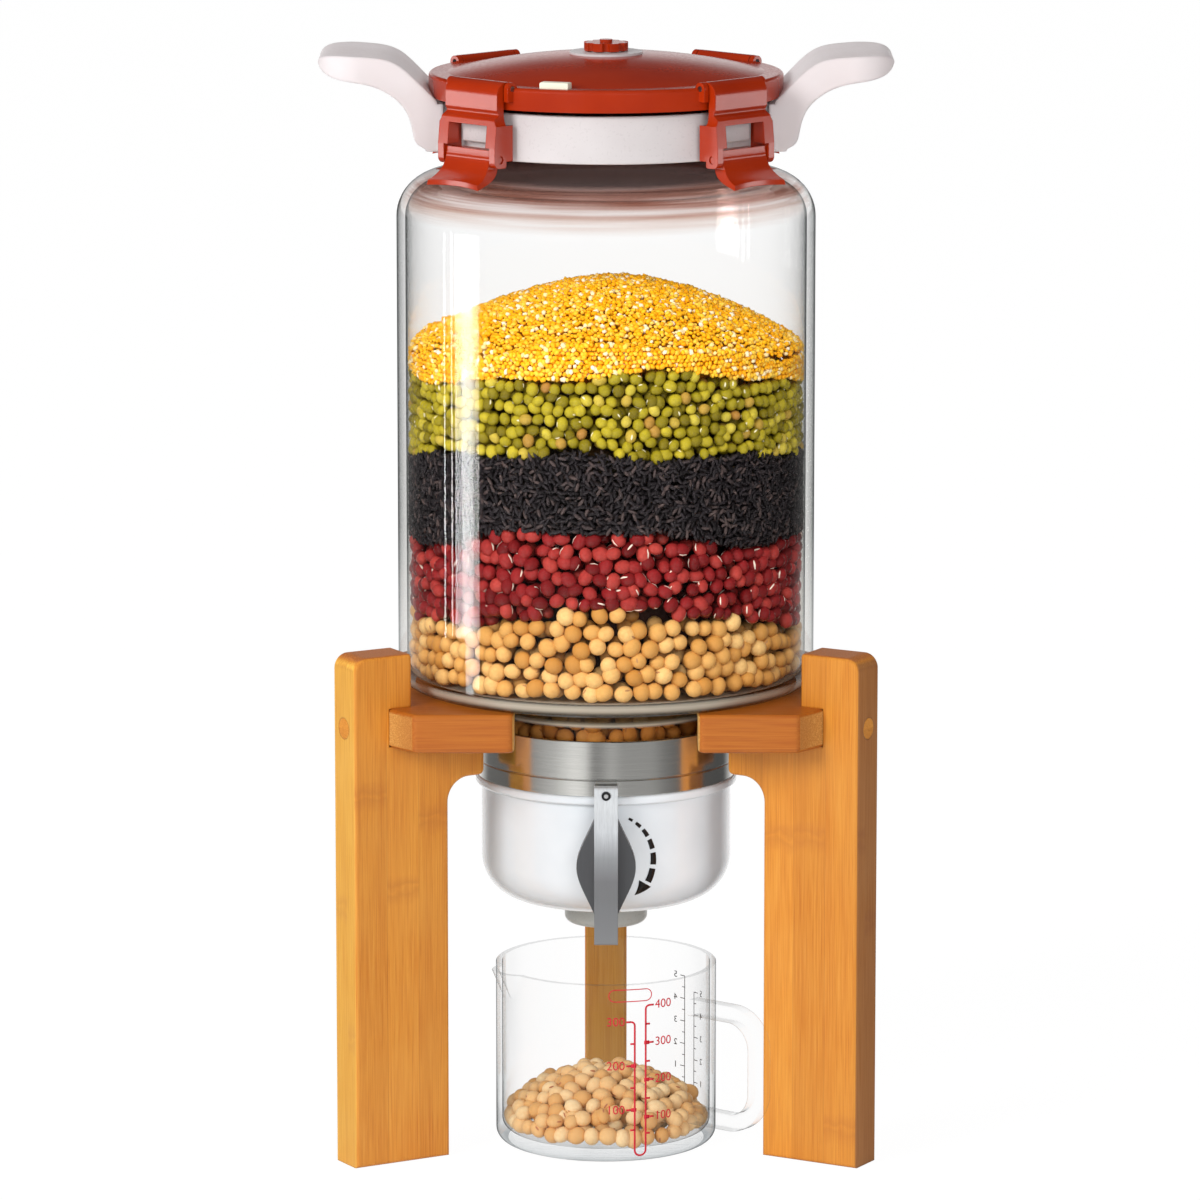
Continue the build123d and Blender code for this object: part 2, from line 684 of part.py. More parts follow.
ear_half = LATCH_STRAP_W / 2 + SWING_GAP
ear = cross_rod(LATCH_BARREL_R, LATCH_EAR_T, hinge_r, hinge_z)
ear += block(
    (hinge_r - LATCH_BARREL_R - LATCH_BARREL_R, hinge_r + LATCH_BARREL_R),
    evenly(LATCH_EAR_T / 2),
    (gasket_top_z, hinge_z),
)
ear_shift = ear_half + LATCH_EAR_T / 2
ears = Pos(0, ear_shift, 0) * ear + Pos(0, -ear_shift, 0) * ear
latch_seat_r = LATCH_BARREL_R + SWING_GAP + SWING_GAP
latch_seat = cross_rod(latch_seat_r, ear_half + ear_half, hinge_r, hinge_z)
pin_l = ear_half + ear_half + LATCH_EAR_T + LATCH_EAR_T
pin_hole = cross_rod(LATCH_PIN_R + RUN_FIT, pin_l, hinge_r, hinge_z)
hinge_pin = cross_rod(LATCH_PIN_R, pin_l, hinge_r, hinge_z)
for azimuth in LATCH_AZIMUTHS.values():
    lid_shell += Rot(0, 0, azimuth) * ears
    lid_shell -= Rot(0, 0, azimuth) * (latch_seat + pin_hole)
latch_pins = Compound([Rot(0, 0, azimuth) * hinge_pin for azimuth in LATCH_AZIMUTHS.values()])

tab_in_r = DOME_R + SWING_GAP
release_tab = block((tab_in_r, tab_in_r + TAB_D), evenly(TAB_W / 2), (lid_top_z, lid_top_z + TAB_H))
release_tab = fillet(release_tab.faces().sort_by(Axis.Z)[-1].edges(), LUG_EDGE_R)
tab_stem = Pos(tab_in_r + TAB_D / 2, 0, 0) * upright_rod(TAB_STEM_R, gasket_top_z, lid_top_z)
tab_hole = Pos(tab_in_r + TAB_D / 2, 0, 0) * upright_rod(TAB_STEM_R + RUN_FIT, gasket_top_z, lid_top_z)
release_tab = Rot(0, 0, TAB_AZIMUTH) * (release_tab + tab_stem)
lid_shell -= Rot(0, 0, TAB_AZIMUTH) * tab_hole

# Vent
vent_floor_z = dome_level(VENT_BASE_R)
vent_base_z = vent_floor_z + VENT_BASE_H
lid_shell -= upright_rod(VENT_BASE_R + SET_FIT, vent_floor_z, dome_top_z)
lid_shell -= upright_rod(VENT_STEM_R + SWING_GAP, mouth_z, dome_top_z)
vent_base = upright_rod(VENT_BASE_R, vent_floor_z, vent_base_z)
vent_base -= upright_rod(VENT_STEM_R + SWING_GAP, vent_floor_z, vent_base_z)
cap_z = vent_base_z + VENT_SEAL_H
clip_top_z = vent_floor_z - LID_T - VENT_TRAVEL - SWING_GAP
vent_knob = upright_rod(VENT_CAP_R, cap_z, cap_z + VENT_CAP_H)
for step in range(VENT_PETALS):
    notch = upright_rod(VENT_NOTCH_R, cap_z, cap_z + VENT_CAP_H)
    vent_knob -= Rot(0, 0, step * 360 / VENT_PETALS) * Pos(VENT_CAP_R, 0, 0) * notch
vent_knob += upright_rod(VENT_NUB_R, cap_z, cap_z + VENT_CAP_H + VENT_NUB_H)
vent_knob += upright_rod(VENT_STEM_R, clip_top_z - VENT_CLIP_H, cap_z)
vent_seal = upright_rod(VENT_SEAL_R, vent_base_z, cap_z)
vent_seal -= upright_rod(VENT_STEM_R + RUN_FIT, vent_base_z, cap_z)
vent_clip = upright_rod(VENT_CLIP_R, clip_top_z - VENT_CLIP_H, clip_top_z)
vent_clip -= upright_rod(VENT_STEM_R + RUN_FIT, clip_top_z - VENT_CLIP_H, clip_top_z)

# Latches
latch_bottom_z = hinge_z - LATCH_LENGTH
plate_r = latch_in_r + LATCH_PLATE_T
frame_r = latch_in_r + LATCH_FRAME_T
lever_half = LATCH_W / 2 - LATCH_CHEEK_T
latch = across_plate(
    [
        (hinge_r, hinge_z, 0),
        (hinge_r, hinge_z + LATCH_BARREL_R, 0),
        (plate_r + LATCH_BULGE, hinge_z + LATCH_BARREL_R, LATCH_CROWN_R),
        (plate_r + LATCH_BULGE, lid_bottom_z, LATCH_ROUND_R),
        (plate_r, ring_top_z, LATCH_ROUND_R),
        (frame_r - LATCH_BULGE, window_top_z + LATCH_PLATE_T, LATCH_ROUND_R),
        (frame_r, window_bottom_z, 0),
        (frame_r, latch_bottom_z, LATCH_BARREL_R),
        (latch_in_r, latch_bottom_z, LATCH_ROUND_R),
        (latch_in_r, hinge_z, 0),
    ],
    LATCH_W,
)
strap_half = LATCH_STRAP_W / 2
strap_top_z = hinge_z + LATCH_BARREL_R
strap_flare = Spline((strap_half, lid_bottom_z), (LATCH_W / 2, window_top_z), tangents=[(0, -1), (1, -1)])
strap_rest = Polyline(
    (LATCH_W / 2, window_top_z),
    (LATCH_W / 2, latch_bottom_z),
    (0, latch_bottom_z),
    (0, strap_top_z),
    (strap_half, strap_top_z),
    (strap_half, lid_bottom_z),
)
half_front = make_face(strap_flare + strap_rest)
latch_front = half_front + mirror(half_front, about=Plane.YZ)
latch &= extrude(Plane.YZ * latch_front, frame_r + LATCH_FRAME_T)
latch += cross_rod(LATCH_BARREL_R, LATCH_STRAP_W, hinge_r, hinge_z)
cheek_in_r = latch_in_r - LATCH_CHEEK_DEPTH
cheek_z = latch_bottom_z + LATCH_BARREL_R
latch += block((cheek_in_r, lever_r), evenly(LATCH_W / 2), (cheek_z, window_top_z))
latch -= block((cheek_in_r, frame_r), evenly(lever_half), (latch_bottom_z, window_bottom_z))
latch -= block((cheek_in_r, frame_r), evenly(WINDOW_W / 2), (window_bottom_z, window_top_z))
latch -= block((cheek_in_r, latch_in_r), evenly(lever_half), (window_bottom_z, ring_top_z))
latch -= pin_hole
latch -= cross_rod(LEVER_TRUNNION_R + RUN_FIT, LATCH_W, lever_r, lever_z)

lever_w = lever_half + lever_half - SWING_GAP - SWING_GAP
hook_r = lever_r + LEVER_HOOK_T / 2
tip_r = lever_r + LEVER_LIP_REACH
tip_z = lever_z - LEVER_LIP_DROP
hub_in_r = lever_r - LEVER_HUB_R
hook_z = lever_z + LEVER_HOOK_H
lip_out = (1, -LEVER_LIP_SLOPE_SHARE)
lip_back = (-1, LEVER_LIP_SLOPE_SHARE)
lip_over = Spline((hook_r, hook_z), (tip_r, tip_z), tangents=[(0, -1), lip_out])
lip_edge = Line((tip_r, tip_z), (tip_r, tip_z - LEVER_LIP_T))
lip_under = Spline((tip_r, tip_z - LEVER_LIP_T), (hub_in_r, lever_z), tangents=[lip_back, (0, 1)])
lip_close = Polyline((hub_in_r, lever_z), (hub_in_r, hook_z), (hook_r, hook_z))
lip_section = make_face(lip_over + lip_edge + lip_under + lip_close)
lip_half = lever_w / 2
flare_half = lip_half + LEVER_FLARE
flare_z = latch_bottom_z - SWING_GAP
lip_front = make_face(
    Polyline(
        (-lip_half, window_bottom_z),
        (lip_half, window_bottom_z),
        (lip_half, flare_z),
        (flare_half, tip_z - LEVER_LIP_T),
        (-flare_half, tip_z - LEVER_LIP_T),
        (-lip_half, flare_z),
        close=True,
    )
)
lever = extrude(Plane.XZ * lip_section, flare_half, both=True)
lever &= extrude(Plane.YZ * lip_front, tip_r)
lever += cross_rod(LEVER_HUB_R, lever_w, lever_r, lever_z)
scallop_x = tip_r - LEVER_SCALLOP_DEPTH + LEVER_SCALLOP_R
lever -= Pos(scallop_x, 0, 0) * upright_rod(LEVER_SCALLOP_R, tip_z - LEVER_LIP_T, lever_z)
lever += cross_rod(LEVER_TRUNNION_R, LATCH_W - LATCH_ROUND_R, lever_r, lever_z)

# Measuring cup
cup_outer = turned([(0, 0, 0), (CUP_R, 0, CUP_BASE_R), (CUP_R, CUP_H, 0), (0, CUP_H, 0)])
cup_in_r = CUP_R - CUP_WALL
cup_inner = turned(
    [
        (0, CUP_FLOOR_T, 0),
        (cup_in_r, CUP_FLOOR_T, CUP_INNER_BASE_R),
        (cup_in_r, CUP_H, 0),
        (0, CUP_H, 0),
    ]
)
lip_x = CUP_R + CUP_LIP_OUT - CUP_LIP_R
lip_place = Rot(0, 0, CUP_LIP_AZIMUTH) * Pos(lip_x, 0, CUP_H - CUP_LIP_H)
cup_outer += lip_place * Cone(CUP_LIP_TIP_R, CUP_LIP_R, CUP_LIP_H, align=FROM_BASE)
lip_tip_in_r = CUP_LIP_TIP_R - CUP_WALL
cup_inner += lip_place * Cone(lip_tip_in_r, CUP_LIP_R - CUP_WALL, CUP_LIP_H, align=FROM_BASE)
handle_top_z = CUP_H - CUP_HANDLE_TOP_DROP
handle_path = FilletPolyline(
    (cup_in_r, handle_top_z),
    (CUP_R + CUP_HANDLE_REACH, handle_top_z),
    (CUP_R + CUP_HANDLE_REACH, handle_top_z - CUP_HANDLE_L),
    (cup_in_r, handle_top_z - CUP_HANDLE_L),
    radius=CUP_HANDLE_BEND_R,
)
handle_start = Plane(origin=(cup_in_r, 0, handle_top_z), x_dir=(0, 1, 0), z_dir=(1, 0, 0))
handle_section = handle_start * RectangleRounded(CUP_HANDLE_W, CUP_HANDLE_T, CUP_HANDLE_ROUND_R)
cup_handle = sweep(handle_section, path=Plane.XZ * handle_path)
measuring_cup = cup_outer + Rot(0, 0, CUP_HANDLE_AZIMUTH) * cup_handle - cup_inner
measuring_cup = Pos(0, -CUP_FORWARD, 0) * measuring_cup

pieces = dict(stand_pieces)
pieces.update(
    {
        "glass_jar": glass_jar,
        "neck_ring": neck_ring,
        "handle_left": handle_left,
        "handle_right": handle_right,
        "neck_seal": neck_seal,
        "steel_sleeve": steel_sleeve,
        "hopper": hopper,
        "outlet_funnel": outlet_funnel,
        "front_bush": front_bush,
        "gate_shaft": gate_shaft,
        "rotary_gate": rotary_gate,
        "shaft_clip": shaft_clip,
        "knob_plate": knob_plate,
        "knob_lever": knob_lever,
        "pointer_pin": pointer_pin,
        "lid_shell": lid_shell,
        "lid_gasket": lid_gasket,
        "latch_pins": latch_pins,
        "release_tab": release_tab,
        "vent_base": vent_base,
        "vent_knob": vent_knob,
        "vent_seal": vent_seal,
        "vent_clip": vent_clip,
        "measuring_cup": measuring_cup,
    }
)
for corner, azimuth in LATCH_AZIMUTHS.items():
    pieces["latch_" + corner] = Rot(0, 0, azimuth) * latch
    pieces["lever_" + corner] = Rot(0, 0, azimuth) * lever

os.makedirs("parts", exist_ok=True)
for name, piece in pieces.items():
    export_step(Pos(0, row_shift_y, 0) * piece, "parts/" + name + ".step")
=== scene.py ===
"""Looks of the grain dispenser: finishes, glass, grain, printed marks, light and camera.

Lengths are in metres, in the frame of the CAD model: +Z is up and the front looks along -Y.
"""

from math import cos, pi, radians, sin

import bmesh
import bpy
import numpy as np
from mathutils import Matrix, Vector


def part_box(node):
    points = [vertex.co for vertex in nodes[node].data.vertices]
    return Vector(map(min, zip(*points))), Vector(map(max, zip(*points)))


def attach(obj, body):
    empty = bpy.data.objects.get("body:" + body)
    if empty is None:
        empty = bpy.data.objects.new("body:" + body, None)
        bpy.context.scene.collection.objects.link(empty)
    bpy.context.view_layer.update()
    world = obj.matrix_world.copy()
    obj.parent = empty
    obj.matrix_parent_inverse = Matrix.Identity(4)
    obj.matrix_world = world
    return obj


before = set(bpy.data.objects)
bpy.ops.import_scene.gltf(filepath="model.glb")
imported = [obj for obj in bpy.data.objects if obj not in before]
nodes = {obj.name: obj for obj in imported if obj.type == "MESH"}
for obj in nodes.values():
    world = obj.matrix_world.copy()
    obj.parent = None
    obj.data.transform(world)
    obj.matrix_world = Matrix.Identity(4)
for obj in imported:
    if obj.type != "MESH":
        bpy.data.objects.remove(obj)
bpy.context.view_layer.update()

# Places that the CAD model gives
jar_low, jar_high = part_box("glass_jar")
AXIS_Y = (jar_low.y + jar_high.y) / 2
JAR_R = (jar_high.x - jar_low.x) / 2

# Jar and cup sizes that the grain fits in
JAR_WALL = 0.0036
JAR_FLOOR_Z = 0.1978
FOOT_BORE_R = 0.0475
FOOT_GRAIN_LOW = 0.170
FOOT_GRAIN_HIGH = 0.197
CUP_R = 0.046
CUP_H = 0.076
CUP_WALL = 0.0025
CUP_FLOOR_Z = 0.005
CUP_Y = AXIS_Y - 0.016
GRAIN_GAP = 0.0006
WALL_R = JAR_R - JAR_WALL - GRAIN_GAP
CUP_BORE_R = CUP_R - CUP_WALL - GRAIN_GAP

# Tops of the grain layers at the sides of the jar, and how far they rise to the front
LAYER_TOPS = {"soy": 0.223, "adzuki": 0.256, "rice": 0.290, "mung": 0.322, "corn": 0.333}
LAYER_RISE = 0.0115
LAYER_WAVE = 0.0016
HEAP_TOP = 0.3605
HEAP_SHIFT_X = 0.006
HEAP_POWER = 1.75
CORE_DEPTH = 0.012
CUP_HEAP_EDGE = 0.0145
CUP_HEAP_TOP = 0.0315
CUP_HEAP_POWER = 2.0

# Camera that stands where the photograph was taken from
CAMERA_PLACE = (-0.0025, AXIS_Y - 3.0, 0.780)
CAMERA_TARGET = (-0.0025, AXIS_Y, 0.22605)
CAMERA_LENS = 219.65
CAMERA_SENSOR = 36.0
CAMERA_REACH = 100.0

# How bright the studio looks in a mirror, by degrees from the front to the right
STUDIO_LEVELS = (
    (-180, 1.0),
    (-150, 1.0),
    (-128, 0.16),
    (-90, 0.14),
    (-72, 0.30),
    (-45, 0.62),
    (-28, 1.0),
    (-18, 0.92),
    (-11, 0.26),
    (-3, 0.38),
    (4, 0.56),
    (14, 0.40),
    (40, 0.38),
    (52, 0.24),
    (76, 0.10),
    (128, 0.08),
    (150, 1.0),
    (180, 1.0),
)


def rgb(red, green, blue):
    """A linear colour from 0 to 255 display values."""
    shares = [value / 255 for value in (red, green, blue)]
    linear = [s / 12.92 if s <= 0.04045 else ((s + 0.055) / 1.055) ** 2.4 for s in shares]
    return (*linear, 1.0)


class Nodes:
    """A shader tree that is built up one node at a time."""

    def __init__(self, tree):
        self.tree = tree
        self.coords = self.node("TexCoord")

    def feed(self, socket, value):
        if isinstance(value, bpy.types.NodeSocket):
            self.tree.links.new(value, socket)
        else:
            socket.default_value = value

    def node(self, kind, inputs=(), **settings):
        made = self.tree.nodes.new("ShaderNode" + kind)
        for key, value in settings.items():
            setattr(made, key, value)
        for key, value in dict(inputs).items():
            self.feed(made.inputs[key], value)
        return made

    def point(self, source="Object", **mapping):
        """Texture coordinates, moved by a mapping."""
        inputs = {key.capitalize(): value for key, value in mapping.items()}
        inputs["Vector"] = self.coords.outputs[source] if isinstance(source, str) else source
        return self.node("Mapping", inputs).outputs[0]

    def parts(self, vector):
        """The three parts of a vector."""
        return self.node("SeparateXYZ", {0: vector}).outputs

    def noise(self, vector, scale, detail=2.0, roughness=0.5):
        inputs = {"Vector": vector, "Scale": scale, "Detail": detail, "Roughness": roughness}
        return self.node("TexNoise", inputs).outputs[0]

    def ramp(self, factor, *stops):
        """A run of colours or grey levels along a factor."""
        made = self.node("ValToRGB", {"Fac": factor})
        elements = made.color_ramp.elements
        while len(elements) < len(stops):
            elements.new(0.5)
        for element, (place, colour) in zip(elements, stops):
            element.position = place
            element.color = colour if isinstance(colour, tuple) else (colour, colour, colour, 1.0)
        return made.outputs[0]

    def mix(self, factor, first, second, blend="MIX"):
        made = self.node("Mix", data_type="RGBA", blend_type=blend)
        self.feed(made.inputs[0], factor)
        self.feed(made.inputs[6], first)
        self.feed(made.inputs[7], second)
        return made.outputs[2]

    def math(self, operation, first, second=0.0):
        made = self.node("Math", operation=operation)
        self.feed(made.inputs[0], first)
        self.feed(made.inputs[1], second)
        return made.outputs[0]

    def length(self, first, second):
        """Length of a level run that has two parts."""
        squares = [self.math("POWER", part, 2.0) for part in (first, second)]
        return self.math("SQRT", self.math("ADD", *squares))

    def span(self, value, low, high, first=0.0, last=1.0):
        """A value between two limits, moved to another span."""
        return self.node("MapRange", {0: value, 1: low, 2: high, 3: first, 4: last}).outputs[0]

    def studio(self, across, ahead):
        """Brightness of the studio in a direction, given as a run to the right and one to the front."""
        turn = self.math("DIVIDE", self.math("ARCTAN2", across, ahead), 2 * pi)
        stops = [(degrees / 360 + 0.5, level) for degrees, level in STUDIO_LEVELS]
        return self.ramp(self.math("ADD", turn, 0.5), *stops)


class Finish(Nodes):
    """A node material."""

    def __init__(self, name, **surface):
        self.material = bpy.data.materials.new(name)
        self.material.use_nodes = True
        super().__init__(self.material.node_tree)
        self.surface = self.tree.nodes["Principled BSDF"]
        self.output = self.tree.nodes["Material Output"]
        self.set(**surface)

    def set(self, **surface):
        """Values or sockets for the shader, with spaces written as underscores."""
        for key, value in surface.items():
            self.feed(self.surface.inputs[key.replace("_", " ")], value)

    def attribute(self, name, output):
        return self.node("Attribute", attribute_name=name).outputs[output]

    def bump(self, height, distance, strength=1.0, soft_edge=0.0):
        """A fine relief, over edges that are rounded by a radius."""
        inputs = {"Height": height, "Distance": distance, "Strength": strength}
        if soft_edge:
            inputs["Normal"] = self.node("Bevel", {"Radius": soft_edge}, samples=6).outputs[0]
        self.set(Normal=self.node("Bump", inputs).outputs[0])

    def show(self, shader):
        """Use a shader as the surface."""
        self.tree.links.new(shader.outputs[0], self.output.inputs["Surface"])


# Bamboo strips
STRIP_W = 0.0148
STRIP_T = 0.0092
CULM_STEP = 0.23
FIBRE_DEPTH = 0.00012
BOARD_EDGE_R = 0.0012
PLAIN = (1.0, 1.0, 1.0)


def bamboo(name, rotation, shade=PLAIN, end_tone_and_light=PLAIN, painted_side_light=PLAIN):
    """Laminated bamboo whose fibres run along Z once the point is turned, with its edges across X; its narrow
    edge faces take a tint of painted light and shade, and its end faces a tint that for the seat is partly
    painted light.
    """
    finish = Finish(name, Coat_Weight=0.15, Coat_Roughness=0.3)
    point = finish.point(rotation=rotation)
    facing = finish.parts(finish.point("Normal", rotation=rotation))
    place = finish.parts(point)
    across = finish.math("DIVIDE", place[0], STRIP_W)
    through = finish.math("DIVIDE", place[1], STRIP_T)
    strip = {0: finish.math("FLOOR", across), 1: finish.math("FLOOR", through), 2: 0.5}
    strip = finish.node("CombineXYZ", strip).outputs[0]
    tone = finish.node("TexWhiteNoise", {"Vector": strip}, noise_dimensions="3D").outputs[0]
    fibre = finish.noise(finish.point(point, scale=(1.0, 1.0, 0.02)), 1500.0, 3.0, 0.65)
    streak = finish.noise(finish.point(point, scale=(1.0, 1.0, 0.05)), 210.0, 2.0)
    cloud = finish.noise(point, 22.0, 2.0)
    body = finish.ramp(fibre, (0.28, rgb(206, 122, 36)), (0.5, rgb(227, 148, 48)), (0.75, rgb(238, 166, 66)))
    body = finish.mix(finish.ramp(streak, (0.4, 0.0), (0.72, 0.35)), body, rgb(206, 122, 36))
    body = finish.mix(finish.ramp(cloud, (0.35, 0.0), (0.7, 0.3)), body, rgb(240, 174, 80))
    strip_shade = finish.ramp(tone, (0.0, rgb(236, 228, 218)), (1.0, rgb(255, 252, 248)))
    body = finish.mix(1.0, body, strip_shade, "MULTIPLY")

    wobble = finish.math("MULTIPLY", finish.noise(point, 160.0), 0.035)
    along = finish.math("ADD", finish.math("DIVIDE", place[2], CULM_STEP), finish.math("MULTIPLY", tone, 7.3))
    cycle = finish.math("FRACT", finish.math("ADD", along, wobble))
    culm = finish.ramp(cycle, (0.47, 0.0), (0.492, 0.3), (0.5, 0.08), (0.507, 0.34), (0.53, 0.0))
    body = finish.mix(culm, body, rgb(184, 104, 40))
    seam = finish.math("ABSOLUTE", finish.math("SUBTRACT", finish.math("FRACT", across), 0.5))
    body = finish.mix(finish.ramp(seam, (0.482, 0.0), (0.497, 0.25)), body, rgb(160, 92, 38))

    pores = finish.noise(finish.point(point, scale=(1.0, 1.0, 0.3)), 1900.0, 1.0)
    end = finish.ramp(pores, (0.35, rgb(176, 100, 42)), (0.55, rgb(200, 118, 52)), (0.7, rgb(214, 136, 66)))
    ends = finish.ramp(finish.math("ABSOLUTE", facing[2]), (0.7, 0.0), (0.86, 1.0))
    body = finish.mix(1.0, body, (*shade, 1.0), "MULTIPLY")
    # Narrow faces across X are multiplied by painted light and shade: lighter where the key lamp falls,
    # darker on the shaded side.
    edge = finish.mix(1.0, body, (*painted_side_light, 1.0), "MULTIPLY")
    edges = finish.ramp(finish.math("ABSOLUTE", facing[0]), (0.7, 0.0), (0.86, 1.0))
    body = finish.mix(edges, body, edge)
    # End faces get a tint of their own; on the seat it brightens them as painted light over the end-grain
    # tone.
    end = finish.mix(1.0, end, (*end_tone_and_light, 1.0), "MULTIPLY")
    finish.set(Base_Color=finish.mix(ends, body, end))
    finish.set(Roughness=finish.ramp(fibre, (0.3, 0.56), (0.7, 0.42)))
    finish.bump(fibre, FIBRE_DEPTH, 0.35, BOARD_EDGE_R)
    return finish.material


# Depths of fine reliefs, and how far edges are rounded
SKIN_DEPTH = 0.00001
STROKE_DEPTH = 0.00002
MOULD_EDGE_R = 0.0004
LEVER_EDGE_R = 0.0005
PIN_EDGE_R = 0.0002
HANDLE_EDGE_R = 0.002


def moulded(name, dark, light, roughness, soft_edge=MOULD_EDGE_R, **surface):
    """Moulded plastic: a faint cloud of tone and a fine skin."""
    finish = Finish(name, **surface)
    cloud = finish.noise(finish.point(), 35.0, 3.0)
    skin = finish.noise(finish.point(), 900.0, 2.0)
    finish.set(Base_Color=finish.ramp(cloud, (0.3, dark), (0.7, light)))
    finish.set(Roughness=finish.ramp(skin, (0.3, roughness * 0.85), (0.7, roughness * 1.2)))
    finish.bump(skin, SKIN_DEPTH, 0.3, soft_edge)
    return finish.material


def brushed(name, dark, light, roughness, lines):
    """Metal with fine lines; lines gives how the point is stretched along them."""
    finish = Finish(name, Metallic=1.0)
    stroke = finish.noise(finish.point(scale=lines), 1.0, 3.0, 0.7)
    cloud = finish.noise(finish.point(), 30.0, 2.0)
    tone = finish.mix(0.35, stroke, cloud)
    finish.set(Base_Color=finish.ramp(tone, (0.3, dark), (0.7, light)))
    finish.set(Roughness=finish.ramp(stroke, (0.25, roughness * 0.8), (0.75, roughness * 1.3)))
    finish.bump(stroke, STROKE_DEPTH, 0.5, MOULD_EDGE_R)
    return finish.material


def graded(name, box):
    """A silver-painted piece, palest at the top through painted light from above."""
    finish = Finish(name, Metallic=0.3)
    low, high = box
    height = finish.span(finish.parts(finish.coords.outputs["Object"])[2], low.z, high.z)
    flake = finish.noise(finish.point(scale=(1400.0, 400.0, 60.0)), 1.0, 3.0, 0.7)
    # Paler towards the top: painted light falling from above.
    painted_light_and_shade = finish.ramp(
        height,
        (0.0, rgb(142, 143, 145)),
        (0.3, rgb(129, 130, 132)),
        (0.42, rgb(130, 130, 132)),
        (0.57, rgb(162, 164, 167)),
        (0.73, rgb(226, 230, 234)),
        (0.87, rgb(236, 240, 243)),
    )
    finish.set(Base_Color=finish.mix(finish.ramp(flake, (0.35, 0.0), (0.7, 0.25)), painted_light_and_shade, rgb(140, 142, 146)))
    finish.set(Roughness=finish.ramp(flake, (0.3, 0.36), (0.7, 0.5)))
    finish.bump(flake, SKIN_DEPTH, 0.4, LEVER_EDGE_R)
    return finish.material


def ringed(name, box):
    """Polished steel for a pin that looks to the front, with a painted glint in the middle and a dark ring
    round its edge as painted shade of a groove.
    """
    finish = Finish(name, Metallic=0.8)
    low, high = box
    place = finish.parts(finish.coords.outputs["Object"])
    across = finish.math("SUBTRACT", place[0], (low.x + high.x) / 2)
    up = finish.math("SUBTRACT", place[2], (low.z + high.z) / 2)
    share = finish.math("DIVIDE", finish.length(across, up), (high.x - low.x) / 2)
    speck = finish.noise(finish.point(), 900.0, 2.0)
    # Pale middle, dark ring and dark rim: painted glint and painted shade.
    painted_light_and_shade = finish.ramp(share, (0.4, rgb(250, 250, 250)), (0.55, rgb(70, 70, 72)), (0.95, rgb(44, 44, 46)))
    finish.set(Base_Color=finish.mix(finish.ramp(speck, (0.4, 0.0), (0.8, 0.2)), painted_light_and_shade, rgb(120, 120, 122)))
    finish.set(Roughness=finish.ramp(speck, (0.3, 0.16), (0.7, 0.26)))
    finish.bump(speck, SKIN_DEPTH, 0.3, PIN_EDGE_R)
    return finish.material


# Share of light that glass mirrors straight on, and at a grazing angle
GLASS_MIRROR = 0.008
GLASS_GRAZING = 0.9


def clear_glass(name, zone_low, zone_high, zone_tints, edge_tone, streaks=0.0, pale_lines=()):
    """Clear glass: light goes straight through it, with grey edges, tints by height and pale lines that can
    hold a painted highlight.
    """
    finish = Finish(name)
    facing = finish.node("LayerWeight", {"Blend": 0.5}).outputs["Facing"]
    rim = finish.ramp(facing, (0.0, 1.0), (0.72, 0.99), (0.84, rgb(244, 245, 245)), (0.94, edge_tone))
    point = finish.coords.outputs["Object"]
    height = finish.span(finish.parts(point)[2], zone_low, zone_high)
    tint = finish.ramp(height, *zone_tints)
    if streaks:
        rings = finish.noise(finish.point(scale=(4.0, 4.0, 260.0)), 1.0, 3.0, 0.7)
        bands = finish.ramp(rings, (0.38, 1.0 - streaks), (0.62, 1.0))
        shoulder = finish.ramp(height, (0.8, 0.0), (0.81, 1.0), (0.87, 1.0), (0.886, 0.0))
        tint = finish.mix(shoulder, tint, finish.mix(bands, (1, 1, 1, 1), tint))
    tint = finish.mix(1.0, tint, rim, "MULTIPLY")
    path = finish.node("LightPath")
    lamp = finish.math("MAXIMUM", path.outputs["Is Shadow Ray"], path.outputs["Is Diffuse Ray"])
    tint = finish.mix(lamp, tint, rgb(253, 254, 254))
    wisps = finish.noise(finish.point(scale=(1.0, 1.0, 0.15)), 40.0, 2.0)
    polish = finish.ramp(wisps, (0.3, 0.0), (0.8, 0.03))
    grazing = finish.math("MULTIPLY", finish.math("POWER", facing, 5.0), GLASS_GRAZING)
    mirror = finish.math("ADD", grazing, GLASS_MIRROR)
    mirror = finish.math("MULTIPLY", mirror, finish.math("SUBTRACT", 1.0, lamp))
    through = finish.node("BsdfTransparent", {"Color": tint})
    gloss = finish.node("BsdfGlossy", {"Color": rim, "Roughness": polish})
    clear = finish.node("MixShader", {0: mirror, 1: through.outputs[0], 2: gloss.outputs[0]})
    # Pale lines seen straight or in mirrors, in a lit pale colour; at the jar's base one of them is a painted
    # highlight.
    if pale_lines:
        stops = [((level - zone_low) / (zone_high - zone_low), amount) for level, amount in pale_lines]
        haze_and_highlight = finish.math("MULTIPLY", finish.ramp(height, *stops), finish.math("SUBTRACT", 1.0, lamp))
        milk_and_highlight = finish.node("BsdfDiffuse", {"Color": rgb(232, 220, 200)})
        clear = finish.node("MixShader", {0: haze_and_highlight, 1: clear.outputs[0], 2: milk_and_highlight.outputs[0]})
    finish.show(clear)
    return finish.material


MOTTLE_DEPTH = 0.0001


